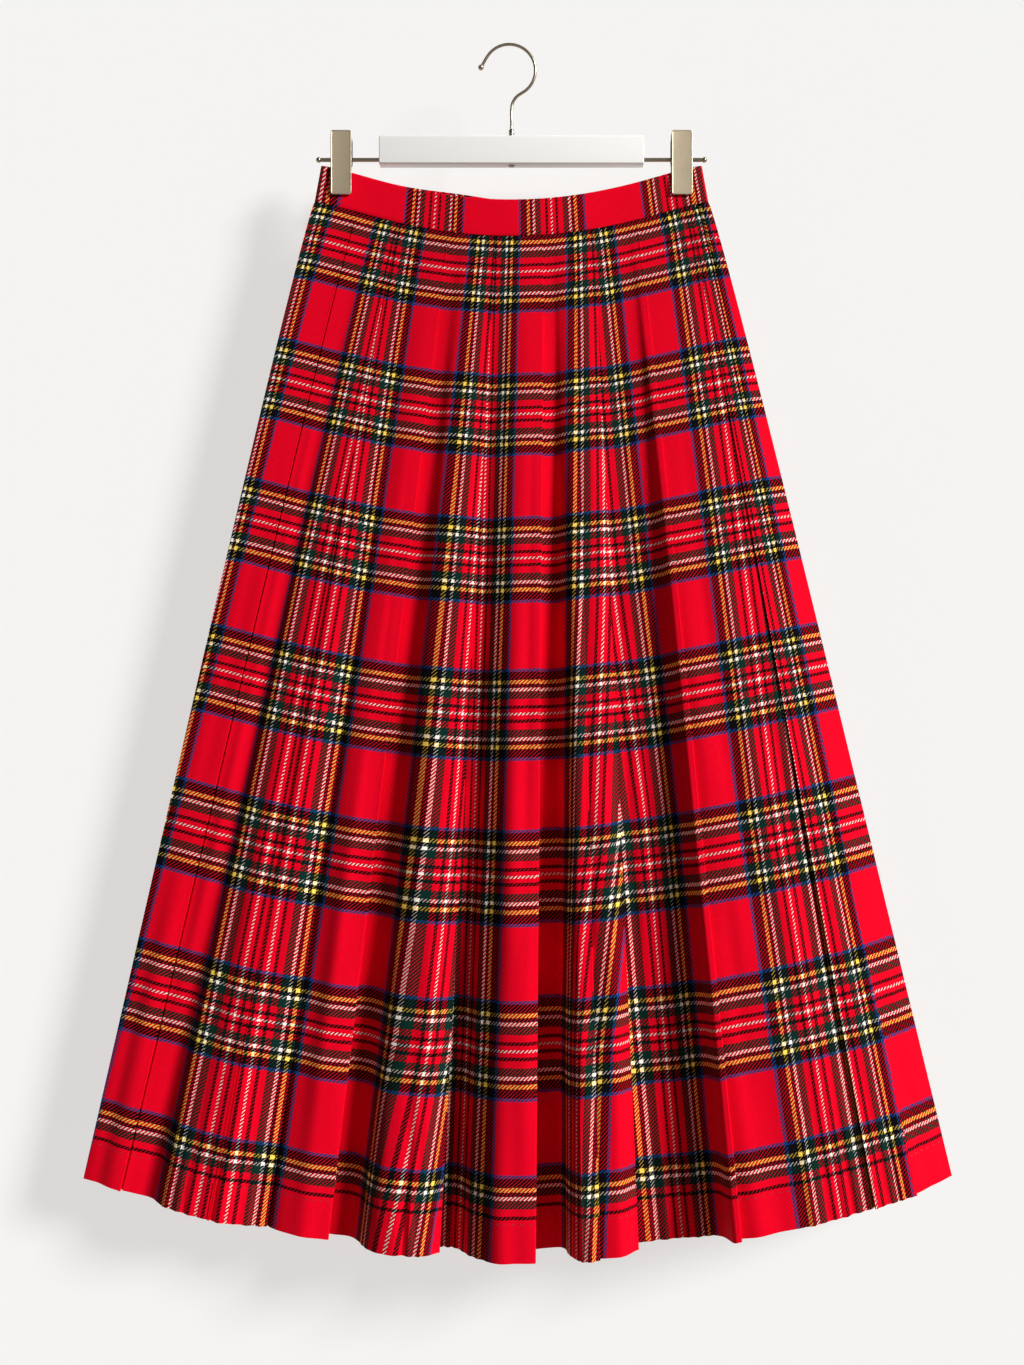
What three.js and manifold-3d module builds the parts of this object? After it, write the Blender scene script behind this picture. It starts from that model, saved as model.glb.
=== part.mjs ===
// A long pleated tartan skirt hanging by its waistband from a clip hanger.
// Millimetres, +Z up, +X to the right of someone facing the skirt, whose front looks towards -Y.
// The origin is the inside top of the hanger's hook, where a rail or peg carries it.
// "Forward" is the distance towards the viewer of a face, so it is -Y on the front.
import * as THREE from "three";
import { mergeVertices } from "three/addons/utils/BufferGeometryUtils.js";
import Module from "manifold-3d";

const wasm = await Module();
wasm.setup();

// Cloth sizes.
const CLOTH_WALL = 1.2;
const HEM_WALL = 2.1;
const SEAM_GAP = 0.3;
const CLOTH_LENGTH = 902;
const HEM_TURN_UP = 34;
const HIP_BULGE = 4;
const UNDERLAP_PER_STEP = 0.12;
const PARTS_PER_WAVE = 2;
const ROWS_DOWN = 10;

// Waistband: the seam line under it sags between the two clips.
const WAIST = {
  halfSeam: 177,
  halfTop: 171,
  height: 32.7,
  wall: 2.4,
  endZ: -141,
  sag: 32.3,
  sagPower: 1.35,
  mouthHalf: 135,
  frontBow: 7,
  backBow: 5,
  backLift: 5,
  backLiftX: -46,
  backLiftReach: 48,
  columns: 36,
};

// Button tab that laps over the middle of the back band, seen from behind.
const TAB = { from: -34, to: 26, wall: 1.8, height: 27, point: 9, columns: 10 };
const BUTTON = { radius: 8, thickness: 2.6, rimWidth: 1.6, rimHeight: 0.7, x: 8 };

// Hanger sizes.
const HOOK = {
  wireRadius: 1.4,
  bendRadius: 23.4,
  centreX: -2,
  tipAngle: 150,
  tipLength: 10.5,
  lowAngle: -63,
  ballRadius: 2.6,
  quarterSides: 5,
  steps: 56,
};
const BAR = { width: 237.6, top: -82.4, bottom: -107.9, depth: 14, edge: 1.2, screwRadius: 3 };
const FERRULE = { radius: 2.5, length: 7 };
const ROD = { radius: 1.85, z: -102.6, halfLength: 176, ballRadius: 2.5 };
const STEM_END = ROD.z + ROD.radius + 2 * SEAM_GAP;
const CLIP = {
  x: 153,
  width: 18.6,
  top: -77.2,
  bottom: -135,
  corner: 2,
  plateWall: 1.2,
  padWall: 1.1,
  padHeight: 13,
  bodyTop: -83,
  bodyBottom: -109,
  bodyOverhang: 2.8,
};

// Front folds and waves, left to right. A row with a step is a pressed fold edge: the cloth
// right of it starts that much further back at the hem, or further forward if it is negative.
const FRONT_FOLDS = [
  { name: "left side", seamX: -177, hemX: -385, forward: 1.35, step: 0 },
  { name: "left crest", seamX: -158, hemX: -368, forward: 8, step: 0 },
  { name: "first fold", seamX: -139.4, hemX: -350, forward: 11, step: 3 },
  { name: "first valley", seamX: -125, hemX: -323, forward: 9, step: 0 },
  { name: "second rise", seamX: -120, hemX: -309, forward: 22, step: 0 },
  { name: "second crest", seamX: -109, hemX: -284, forward: 31, step: 0 },
  { name: "second fold", seamX: -100.8, hemX: -266, forward: 33, step: 0.1 },
  { name: "second fall", seamX: -90, hemX: -243, forward: 29, step: 0 },
  { name: "second edge", seamX: -79, hemX: -219, forward: 20, step: 5 },
  { name: "third crest", seamX: -66, hemX: -187, forward: 32, step: 0 },
  { name: "third fold", seamX: -55.8, hemX: -163, forward: 28, step: 14 },
  { name: "third valley", seamX: -47.5, hemX: -142, forward: 21, step: 0 },
  { name: "fourth rise", seamX: -40, hemX: -119, forward: 47, step: 0 },
  { name: "fourth crest", seamX: -32, hemX: -96, forward: 54, step: 0 },
  { name: "fourth fall", seamX: -23, hemX: -77, forward: 50, step: 0 },
  { name: "fourth fold", seamX: -14.9, hemX: -64.5, forward: 36, step: 18 },
  { name: "fourth valley", seamX: -8.5, hemX: -51, forward: 22, step: 0 },
  { name: "fifth rise", seamX: 0, hemX: -34, forward: 46, step: 0 },
  { name: "fifth crest", seamX: 14, hemX: -7, forward: 64, step: 0 },
  { name: "fifth fold", seamX: 27.5, hemX: 19.5, forward: 67, step: 35 },
  { name: "fifth valley", seamX: 36.5, hemX: 44, forward: 28, step: 0 },
  { name: "sixth rise", seamX: 42, hemX: 51, forward: 50, step: 0 },
  { name: "sixth crest", seamX: 48.5, hemX: 62, forward: 71, step: 0 },
  { name: "sixth edge", seamX: 54, hemX: 75, forward: 70, step: 7 },
  { name: "sixth fall", seamX: 64, hemX: 97, forward: 68, step: 0 },
  { name: "sixth fold", seamX: 71.6, hemX: 113, forward: 48, step: 17 },
  { name: "sixth valley", seamX: 82, hemX: 138, forward: 31, step: 0 },
  { name: "seventh rise", seamX: 95, hemX: 164, forward: 41, step: 0 },
  { name: "seventh crest", seamX: 108, hemX: 189, forward: 71, step: 0 },
  { name: "seventh fold", seamX: 111.7, hemX: 196.5, forward: 72, step: 10 },
  { name: "eighth crest", seamX: 119, hemX: 215, forward: 66, step: 0 },
  { name: "eighth fall", seamX: 133, hemX: 253, forward: 59, step: 0 },
  { name: "eighth shelf", seamX: 147, hemX: 289, forward: 54, step: 0 },
  { name: "eighth fold", seamX: 157.1, hemX: 318, forward: 42, step: -7 },
  { name: "ninth crest", seamX: 163, hemX: 336, forward: 42, step: 0 },
  { name: "ninth edge", seamX: 168.5, hemX: 355.5, forward: 33, step: 5 },
  { name: "ninth fall", seamX: 173, hemX: 376, forward: 16, step: 0 },
  { name: "right side", seamX: 177, hemX: 396, forward: 1.35, step: 0 },
];

// Back folds as someone behind the skirt sees them, left to right; they lie flatter.
const BACK_FOLDS = [
  { name: "right side", seamX: -177, hemX: -396, forward: 1.35, step: 0 },
  { name: "first crest", seamX: -160, hemX: -362, forward: 9, step: 0 },
  { name: "first fold", seamX: -139, hemX: -318, forward: 12, step: 5 },
  { name: "second crest", seamX: -119, hemX: -271, forward: 14, step: 0 },
  { name: "second fold", seamX: -99, hemX: -226, forward: 17, step: 9 },
  { name: "third crest", seamX: -78, hemX: -178, forward: 15, step: 0 },
  { name: "third fold", seamX: -57, hemX: -130, forward: 20, step: 11 },
  { name: "fourth crest", seamX: -36, hemX: -83, forward: 16, step: 0 },
  { name: "fourth fold", seamX: -14, hemX: -36, forward: 21, step: 12 },
  { name: "centre back", seamX: 0, hemX: -5, forward: 12, step: 0 },
  { name: "fifth crest", seamX: 13, hemX: 25, forward: 17, step: 0 },
  { name: "fifth fold", seamX: 29, hemX: 58, forward: 21, step: 11 },
  { name: "sixth crest", seamX: 50, hemX: 105, forward: 15, step: 0 },
  { name: "sixth fold", seamX: 71, hemX: 152, forward: 20, step: 10 },
  { name: "seventh crest", seamX: 91, hemX: 197, forward: 14, step: 0 },
  { name: "seventh fold", seamX: 112, hemX: 242, forward: 17, step: 8 },
  { name: "eighth crest", seamX: 131, hemX: 288, forward: 12, step: 0 },
  { name: "eighth fold", seamX: 150, hemX: 330, forward: 12, step: 5 },
  { name: "ninth crest", seamX: 164, hemX: 359, forward: 8, step: 0 },
  { name: "left side", seamX: 177, hemX: 385, forward: 1.35, step: 0 },
];

const FINISH = {
  tartan: { color: 0xc8102e, roughness: 0.9, metalness: 0 },
  band: { color: 0xd0122f, roughness: 0.9, metalness: 0 },
  button: { color: 0x8e1020, roughness: 0.45, metalness: 0 },
  paint: { color: 0xf0f0ec, roughness: 0.4, metalness: 0 },
  nickel: { color: 0x9a8f80, roughness: 0.3, metalness: 1 },
  plate: { color: 0xa79b86, roughness: 0.38, metalness: 1 },
  rubber: { color: 0x161616, roughness: 0.6, metalness: 0 },
};

const skirtOnHanger = new THREE.Group();

function addMesh(parent, name, geometry, finish) {
  const mesh = new THREE.Mesh(geometry, new THREE.MeshStandardMaterial(FINISH[finish]));
  mesh.name = name;
  parent.add(mesh);
  return mesh;
}

const mix = THREE.MathUtils.lerp;

// How far the waist mouth stands open at x: 1 in the middle, 0 where the clips pinch it.
function mouthShape(x) {
  const s = Math.min(Math.abs(x) / WAIST.mouthHalf, 1);
  return (1 - s * s) ** 2;
}

// Height of the seam between band and pleats.
function seamHeight(x) {
  const s = Math.min(Math.abs(x) / WAIST.halfSeam, 1);
  return WAIST.endZ - WAIST.sag * (1 - s * s) ** WAIST.sagPower;
}

// Outer face of the pleats at the seam. At drop 1 a fold tucks behind the cloth left of it.
function seamForward(x, bow, drop) {
  const side = SEAM_GAP / 2 + CLOTH_WALL;
  const room = WAIST.wall - CLOTH_WALL - 0.25;
  const pinched = (Math.abs(x) / WAIST.halfSeam) ** 6;
  return side + room * (1 - pinched) * (1 - 0.9 * drop) + bow * mouthShape(x);
}

// Turns a fold table into columns: each one is a straight line of cloth from seam to hem.
function clothColumns(folds) {
  const columns = [];
  let start = 0;
  let behind = null;
  for (let i = 1; i < folds.length; i++) {
    const edge = folds[i];
    if (edge.step === 0 && i < folds.length - 1) continue;
    const gore = folds.slice(start, i + 1).map((f) => new THREE.Vector3(f.seamX, f.hemX, f.forward));
    if (behind) gore[0].set(behind.seamX, behind.hemX, behind.forward);
    const points = new THREE.CatmullRomCurve3(gore, false, "centripetal").getPoints(
      (gore.length - 1) * PARTS_PER_WAVE,
    );
    points.forEach((p, k) => {
      const drop = behind ? 1 - k / (points.length - 1) : 0;
      columns.push({ seamX: p.x, hemX: p.y, forward: p.z, drop });
    });
    behind = {
      seamX: edge.seamX + 0.2,
      hemX: edge.hemX - UNDERLAP_PER_STEP * Math.abs(edge.step),
      forward: edge.forward - edge.step,
    };
    start = i;
  }
  return columns;
}

// A point of the outer face: t runs from 0 at the seam to 1 at the hem.
function clothPoint(column, t, bow) {
  const seamF = seamForward(column.seamX, bow, column.drop);
  const run = column.hemX - column.seamX;
  const stand = column.forward - seamF;
  const drop = Math.sqrt(CLOTH_LENGTH ** 2 - run ** 2 - stand ** 2);
  const bulge = HIP_BULGE * Math.sin(Math.PI * Math.sqrt(t)) * (column.seamX / WAIST.halfSeam);
  return {
    x: mix(column.seamX, column.hemX, t) + bulge,
    forward: mix(seamF, column.forward, t),
    z: seamHeight(column.seamX) - SEAM_GAP / 2 - drop * t,
  };
}

// Moves a row of outer points back by the wall, square to the row as seen from above.
function innerRow(row, wall) {
  const MITRE_LIMIT = 1.7;
  const directions = row.slice(1).map((p, i) => {
    const step = new THREE.Vector2(p.x - row[i].x, p.forward - row[i].forward);
    return step.normalize();
  });
  return row.map((p, i) => {
    const before = directions[Math.max(i - 1, 0)];
    const after = directions[Math.min(i, directions.length - 1)];
    const normal = new THREE.Vector2(before.y + after.y, -before.x - after.x).normalize();
    const lean = Math.max(normal.dot(new THREE.Vector2(before.y, -before.x)), 1 / MITRE_LIMIT);
    const forward = Math.max(p.forward + (normal.y * wall) / lean, SEAM_GAP / 2);
    return { x: p.x + (normal.x * wall) / lean, forward, z: p.z };
  });
}

// Closed wall between two grids of points, rows downwards and columns to the right.
function closedWall(outer, inner) {
  const rows = outer.length;
  const columns = outer[0].length;
  const positions = [...outer, ...inner].flat().flatMap((p) => [p.x, -p.forward, p.z]);
  const faces = [];
  const at = (j, i) => j * columns + i;
  const back = rows * columns;
  for (let j = 0; j < rows - 1; j++) {
    for (let i = 0; i < columns - 1; i++) {
      const [a, b, c, d] = [at(j, i), at(j, i + 1), at(j + 1, i), at(j + 1, i + 1)];
      faces.push(a, c, d, a, d, b);
      faces.push(back + a, back + d, back + c, back + a, back + b, back + d);
    }
  }
  const rim = [];
  for (let j = 0; j < rows - 1; j++) rim.push(at(j, 0));
  for (let i = 0; i < columns - 1; i++) rim.push(at(rows - 1, i));
  for (let j = rows - 1; j > 0; j--) rim.push(at(j, columns - 1));
  for (let i = columns - 1; i > 0; i--) rim.push(at(0, i));
  rim.forEach((p, k) => {
    const q = rim[(k + 1) % rim.length];
    faces.push(q, p, back + p, q, back + p, back + q);
  });
  const geometry = new THREE.BufferGeometry();
  geometry.setAttribute("position", new THREE.Float32BufferAttribute(positions, 3));
  geometry.setIndex(faces);
  return geometry;
}

// Heights of the rows of a panel: even ones, and a pair where the turned-up hem begins.
function panelRows() {
  const hemTop = 1 - HEM_TURN_UP / CLOTH_LENGTH;
  const rows = [];
  for (let j = 0; j < ROWS_DOWN; j++) rows.push({ t: (hemTop * j) / ROWS_DOWN, wall: CLOTH_WALL });
  rows.push({ t: hemTop - 0.001, wall: CLOTH_WALL });
  rows.push({ t: hemTop + 0.001, wall: HEM_WALL });
  rows.push({ t: 1, wall: HEM_WALL });
  return rows;
}

// Pleated wall over some of a fold table's columns.
function pleatedPanel(columns, bow) {
  const outer = [];
  const inner = [];
  for (const { t, wall } of panelRows()) {
    const row = columns.map((column) => clothPoint(column, t, bow));
    outer.push(row);
    inner.push(innerRow(row, wall));
  }
  return closedWall(outer, inner);
}

// Columns from one x at the seam to another, with half a seam gap left free at a cut end.
function columnsBetween(columns, from, to) {
  const kept = columns.filter((c) => c.seamX >= from && c.seamX <= to).map((c) => ({ ...c }));
  const first = kept[0];
  const last = kept[kept.length - 1];
  for (const key of ["seamX", "hemX"]) {
    if (from > -WAIST.halfSeam) first[key] += SEAM_GAP / 2;
    if (to < WAIST.halfSeam) last[key] -= SEAM_GAP / 2;
  }
  return kept;
}

// Waistband outer face: u from -1 to 1 across, v from 0 at the seam to 1 at the top.
function bandPoint(u, v, bow, lift) {
  const seamX = u * WAIST.halfSeam;
  const raised = lift * Math.exp(-(((seamX + WAIST.backLiftX) / WAIST.backLiftReach) ** 2));
  return {
    x: mix(seamX, u * WAIST.halfTop, v),
    forward: SEAM_GAP / 2 + WAIST.wall + bow * mouthShape(seamX),
    z: seamHeight(seamX) + SEAM_GAP / 2 + v * (WAIST.height + raised),
  };
}

function waistband(bow, lift) {
  const ROUNDING = [
    { v: 1, wall: 0.62 },
    { v: 0.965, wall: 1 },
    { v: 0.5, wall: 1 },
    { v: 0, wall: 1 },
  ];
  const outer = [];
  const inner = [];
  for (const { v, wall } of ROUNDING) {
    const row = [];
    for (let i = 0; i <= WAIST.columns; i++) {
      const point = bandPoint((2 * i) / WAIST.columns - 1, v, bow, lift);
      const endRound = i === 0 || i === WAIST.columns ? 0.6 : 1;
      point.innerForward = point.forward - WAIST.wall;
      point.forward = point.innerForward + WAIST.wall * wall * endRound;
      row.push(point);
    }
    outer.push(row);
    inner.push(row.map((p) => ({ ...p, forward: p.innerForward })));
  }
  return closedWall(outer, inner);
}

// The tab follows the band's outer face, moved out by its own wall.
function buttonTab() {
  const base = (WAIST.height - TAB.height) / 2;
  const rowsV = [1, 0.8, 0.5, 0.2, 0];
  const outer = [];
  const inner = [];
  for (const v of rowsV) {
    const row = [];
    for (let i = 0; i <= TAB.columns; i++) {
      const point = TAB.point * (1 - Math.abs(2 * v - 1) ** 2.2);
      const x = mix(TAB.from, TAB.to + point, i / TAB.columns);
      const along = (base + v * TAB.height) / WAIST.height;
      const seamPoint = bandPoint(x / WAIST.halfSeam, along, WAIST.backBow, 0);
      row.push({ ...seamPoint, forward: seamPoint.forward + SEAM_GAP + TAB.wall });
    }
    outer.push(row);
    inner.push(row.map((p) => ({ ...p, forward: p.forward - TAB.wall })));
  }
  return closedWall(outer, inner);
}

// A body of revolution from [radius, height] pairs about +Z.
function turned(profile, sides) {
  const points = profile.map(([r, z]) => new THREE.Vector2(r, z));
  return new THREE.LatheGeometry(points, sides).rotateX(Math.PI / 2);
}

function solidOf(geometry) {
  const bare = geometry.clone();
  bare.deleteAttribute("normal");
  bare.deleteAttribute("uv");
  const merged = mergeVertices(bare, 1e-4);
  const mesh = new wasm.Mesh({
    numProp: 3,
    vertProperties: new Float32Array(merged.attributes.position.array),
    triVerts: new Uint32Array(merged.index.array),
  });
  return new wasm.Manifold(mesh);
}

function geometryOf(solid) {
  const mesh = solid.getMesh();
  const geometry = new THREE.BufferGeometry();
  geometry.setAttribute("position", new THREE.BufferAttribute(mesh.vertProperties, 3));
  geometry.setIndex(new THREE.BufferAttribute(mesh.triVerts, 1));
  geometry.computeVertexNormals();
  return geometry;
}

function roundedRectangle(width, height, radius) {
  const shape = new THREE.Shape();
  const [x, y] = [width / 2, height / 2];
  shape.moveTo(-x + radius, -y);
  shape.lineTo(x - radius, -y);
  shape.absarc(x - radius, -y + radius, radius, -Math.PI / 2, 0);
  shape.lineTo(x, y - radius);
  shape.absarc(x - radius, y - radius, radius, 0, Math.PI / 2);
  shape.lineTo(-x + radius, y);
  shape.absarc(-x + radius, y - radius, radius, Math.PI / 2, Math.PI);
  shape.lineTo(-x, -y + radius);
  shape.absarc(-x + radius, -y + radius, radius, Math.PI, Math.PI * 1.5);
  return shape;
}

// Centre line of the hook's wire: straight tip, round bend, reverse bend, straight stem.
function hookPath() {
  const centre = new THREE.Vector2(HOOK.centreX, HOOK.wireRadius - HOOK.bendRadius);
  const turn = THREE.MathUtils.degToRad;
  const around = (angle) => [
    centre.x + HOOK.bendRadius * Math.cos(turn(angle)),
    centre.y + HOOK.bendRadius * Math.sin(turn(angle)),
  ];
  const points = [];
  const [tipX, tipZ] = around(HOOK.tipAngle);
  for (const s of [1, 0.66, 0.33]) {
    const out = HOOK.tipLength * s;
    const direction = [-Math.sin(turn(HOOK.tipAngle)), Math.cos(turn(HOOK.tipAngle))];
    points.push([tipX + out * direction[0], tipZ + out * direction[1]]);
  }
  for (let a = HOOK.tipAngle; a > HOOK.lowAngle; a -= 14.2) points.push(around(a));
  const [lowX, lowZ] = around(HOOK.lowAngle);
  const heading = turn(HOOK.lowAngle - 90);
  const reverse = lowX / (1 + Math.sin(heading));
  const pivot = [lowX - reverse * Math.sin(heading), lowZ + reverse * Math.cos(heading)];
  for (let k = 0; k <= 4; k++) {
    const angle = mix(heading, -Math.PI / 2, k / 4);
    points.push([pivot[0] + reverse * Math.sin(angle), pivot[1] - reverse * Math.cos(angle)]);
  }
  const stemTop = points[points.length - 1][1];
  for (let k = 1; k <= 4; k++) points.push([0, mix(stemTop, STEM_END, k / 4)]);
  return points.map(([x, z]) => new THREE.Vector3(x, 0, z));
}

function hookWire() {
  const path = hookPath();
  const wire = new THREE.ExtrudeGeometry(
    new THREE.Shape().absarc(0, 0, HOOK.wireRadius, 0, Math.PI * 2),
    {
      steps: HOOK.steps,
      curveSegments: HOOK.quarterSides,
      bevelEnabled: false,
      extrudePath: new THREE.CatmullRomCurve3(path, false, "centripetal"),
    },
  );
  const ball = new THREE.SphereGeometry(HOOK.ballRadius, 14, 10).translate(path[0].x, 0, path[0].z);
  return geometryOf(solidOf(wire).add(solidOf(ball)));
}

// White bar bored through for the rod, and from the top down to it for the hook's stem.
function hangerBar() {
  const height = BAR.top - BAR.bottom;
  const middle = (BAR.top + BAR.bottom) / 2;
  const body = new THREE.ExtrudeGeometry(
    roundedRectangle(BAR.depth - 1, height - 1, BAR.edge),
    {
      depth: BAR.width - 1,
      curveSegments: 3,
      bevelSegments: 1,
      bevelSize: 0.5,
      bevelThickness: 0.5,
    },
  );
  body.translate(0, 0, -(BAR.width - 1) / 2).rotateX(Math.PI / 2).rotateZ(Math.PI / 2);
  body.translate(0, 0, middle);
  const rodBore = new THREE.CylinderGeometry(ROD.radius + SEAM_GAP, ROD.radius + SEAM_GAP, 300, 16);
  rodBore.rotateZ(Math.PI / 2).translate(0, 0, ROD.z);
  const stemRadius = HOOK.wireRadius + SEAM_GAP;
  const stemBore = new THREE.CylinderGeometry(stemRadius, stemRadius, height, 12);
  stemBore.rotateX(Math.PI / 2).translate(0, 0, ROD.z + height / 2);
  return geometryOf(solidOf(body).subtract(solidOf(rodBore)).subtract(solidOf(stemBore)));
}

function hangerRod() {
  const shaft = new THREE.CylinderGeometry(ROD.radius, ROD.radius, 2 * ROD.halfLength - 4, 14);
  shaft.rotateZ(Math.PI / 2).translate(0, 0, ROD.z);
  let rod = solidOf(shaft);
  for (const side of [-1, 1]) {
    const ball = new THREE.SphereGeometry(ROD.ballRadius, 14, 10);
    ball.translate(side * (ROD.halfLength - ROD.ballRadius), 0, ROD.z);
    rod = rod.add(solidOf(ball));
  }
  return geometryOf(rod);
}

function ferrule() {
  const inside = HOOK.wireRadius + SEAM_GAP;
  const low = BAR.top + SEAM_GAP;
  const high = low + FERRULE.length;
  return turned(
    [
      [inside, low],
      [FERRULE.radius, low],
      [FERRULE.radius, high - 0.6],
      [FERRULE.radius - 0.4, high],
      [inside, high],
      [inside, low],
    ],
    16,
  );
}

// Head of the small screw that locks the rod, under the bar.
function barScrew() {
  const top = BAR.bottom - SEAM_GAP;
  const profile = [
    [0, top - 1.2],
    [BAR.screwRadius - 0.6, top - 1.2],
    [BAR.screwRadius, top - 0.6],
    [BAR.screwRadius, top],
    [0, top],
  ];
  return turned(profile, 16);
}

function button() {
  const rim = BUTTON.radius - BUTTON.rimWidth;
  return turned(
    [
      [0, 0],
      [BUTTON.radius - 0.8, 0],
      [BUTTON.radius, 0.8],
      [BUTTON.radius, BUTTON.thickness - 0.5],
      [BUTTON.radius - 0.6, BUTTON.thickness],
      [rim, BUTTON.thickness],
      [rim - 0.6, BUTTON.thickness - BUTTON.rimHeight],
      [0, BUTTON.thickness - BUTTON.rimHeight],
    ],
    24,
  );
}

// Flat plate with its lowest face at y = 0, standing towards -Y by its wall.
function standingPlate(width, height, wall, corner, bevel) {
  const geometry = new THREE.ExtrudeGeometry(
    roundedRectangle(width - 2 * bevel, height - 2 * bevel, corner),
    {
      depth: wall - 2 * bevel,
      curveSegments: 2,
      bevelSegments: 1,
      bevelSize: bevel,
      bevelThickness: bevel,
    },
  );
  return geometry.translate(0, 0, bevel).rotateX(Math.PI / 2);
}

// Black core of a clip, on the rod between the two plates.
function clipCore(side) {
  const height = CLIP.bodyTop - CLIP.bodyBottom;
  const width = CLIP.width - 2 + CLIP.bodyOverhang;
  const depth = 2 * (SEAM_GAP / 2 + WAIST.wall + CLIP.padWall);
  const block = standingPlate(width, height, depth, 2.4, 0.6);
  const inward = (-side * (CLIP.bodyOverhang + 1)) / 2;
  block.translate(side * CLIP.x + inward, depth / 2, (CLIP.bodyTop + CLIP.bodyBottom) / 2);
  const bore = new THREE.CylinderGeometry(ROD.radius + SEAM_GAP, ROD.radius + SEAM_GAP, 60, 16);
  bore.rotateZ(Math.PI / 2).translate(side * CLIP.x, 0, ROD.z);
  return geometryOf(solidOf(block).subtract(solidOf(bore)));
}

// One clip: two plates, a pad on each jaw, and the core that slides on the rod.
function addClip(parent, side, sideName) {
  const clip = new THREE.Group();
  const padInner = SEAM_GAP / 2 + WAIST.wall + SEAM_GAP;
  const plateInner = padInner + CLIP.padWall + SEAM_GAP;
  const height = CLIP.top - CLIP.bottom;
  for (const [face, turn] of [
    ["front", 0],
    ["back", Math.PI],
  ]) {
    const jaw = new THREE.Group();
    jaw.rotation.z = turn;
    jaw.position.set(side * CLIP.x, 0, 0);
    const plate = standingPlate(CLIP.width, height, CLIP.plateWall, CLIP.corner, 0.3);
    const plateMesh = addMesh(jaw, "clip_" + sideName + "_plate_" + face, plate, "plate");
    plateMesh.position.set(0, -plateInner, (CLIP.top + CLIP.bottom) / 2);
    const pad = standingPlate(CLIP.width - 2, CLIP.padHeight, CLIP.padWall, 1.2, 0.2);
    const padMesh = addMesh(jaw, "clip_" + sideName + "_pad_" + face, pad, "rubber");
    padMesh.position.set(0, -padInner, CLIP.bottom + CLIP.padHeight / 2 + 1);
    clip.add(jaw);
  }
  addMesh(clip, "clip_" + sideName + "_core", clipCore(side), "rubber");
  parent.add(clip);
}

function addHanger(parent) {
  const hanger = new THREE.Group();
  addMesh(hanger, "hanger_bar", hangerBar(), "paint");
  addMesh(hanger, "hanger_rod", hangerRod(), "nickel");
  addMesh(hanger, "hook_wire", hookWire(), "nickel");
  addMesh(hanger, "hook_ferrule", ferrule(), "nickel");
  addMesh(hanger, "bar_screw", barScrew(), "nickel");
  addClip(hanger, -1, "left");
  addClip(hanger, 1, "right");
  parent.add(hanger);
}

function addSkirt(parent) {
  addMesh(parent, "skirt_front", pleatedPanel(clothColumns(FRONT_FOLDS), WAIST.frontBow), "tartan");
  addMesh(parent, "waistband_front", waistband(WAIST.frontBow, 0), "band");

  const back = new THREE.Group();
  back.rotation.z = Math.PI;
  const columns = clothColumns(BACK_FOLDS);
  const halves = [
    ["skirt_back_right", columnsBetween(columns, -WAIST.halfSeam, 0)],
    ["skirt_back_left", columnsBetween(columns, 0, WAIST.halfSeam)],
  ];
  for (const [name, half] of halves) {
    addMesh(back, name, pleatedPanel(half, WAIST.backBow), "tartan");
  }
  addMesh(back, "waistband_back", waistband(WAIST.backBow, WAIST.backLift), "band");
  addMesh(back, "waistband_tab", buttonTab(), "band");
  const seat = bandPoint(BUTTON.x / WAIST.halfSeam, 0.5, WAIST.backBow, 0);
  const buttonMesh = addMesh(back, "waist_button", button(), "button");
  buttonMesh.rotation.x = Math.PI / 2;
  buttonMesh.position.set(seat.x, -(seat.forward + 2 * SEAM_GAP + TAB.wall), seat.z);
  parent.add(back);
}

addSkirt(skirtOnHanger);
addHanger(skirtOnHanger);

export default skirtOnHanger;
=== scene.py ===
"""Looks for a long pleated tartan skirt that hangs by its waistband from a clip hanger.

Sizes in the classes are millimetres, as in the part's own source, and become metres when a mesh
is written. +Z is up and the front looks towards -Y. "Forward" is how far a face stands towards
someone who looks at it, so it is -Y on the front of the skirt and +Y on its back.
"""

import logging
import math
from collections.abc import Callable, Sequence
from dataclasses import dataclass, field
from enum import Enum
from typing import Any

import bpy
import numpy as np
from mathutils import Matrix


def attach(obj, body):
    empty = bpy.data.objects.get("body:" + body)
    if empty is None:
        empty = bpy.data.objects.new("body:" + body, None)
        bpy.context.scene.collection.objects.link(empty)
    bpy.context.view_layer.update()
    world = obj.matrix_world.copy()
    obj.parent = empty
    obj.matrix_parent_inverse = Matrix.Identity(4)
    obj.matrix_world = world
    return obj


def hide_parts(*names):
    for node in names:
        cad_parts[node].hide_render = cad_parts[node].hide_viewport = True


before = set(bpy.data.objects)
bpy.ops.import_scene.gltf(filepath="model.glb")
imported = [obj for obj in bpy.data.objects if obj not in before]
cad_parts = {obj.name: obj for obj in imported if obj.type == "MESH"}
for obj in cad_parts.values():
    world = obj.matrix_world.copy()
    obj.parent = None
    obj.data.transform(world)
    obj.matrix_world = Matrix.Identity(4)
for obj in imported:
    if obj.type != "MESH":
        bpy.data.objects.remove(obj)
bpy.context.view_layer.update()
BODY = "root"
MM = 0.001
TAU = 2 * math.pi
POLE = 0.02

log = logging.getLogger("skirt")


# Sizes that the cloth pieces share.


@dataclass(frozen=True)
class ClothSizes:
    """Walls, lengths and gaps of the cloth."""

    wall: float = 1.2
    hem_wall: float = 2.1
    seam_gap: float = 0.3
    length: float = 902.0
    hem_turn_up: float = 34.0
    hip_bulge: float = 4.0
    underlap_per_step: float = 0.12

    @property
    def turn(self) -> float:
        """Share of the cloth's length at which the hem turns up."""
        return 1 - self.hem_turn_up / self.length


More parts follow.
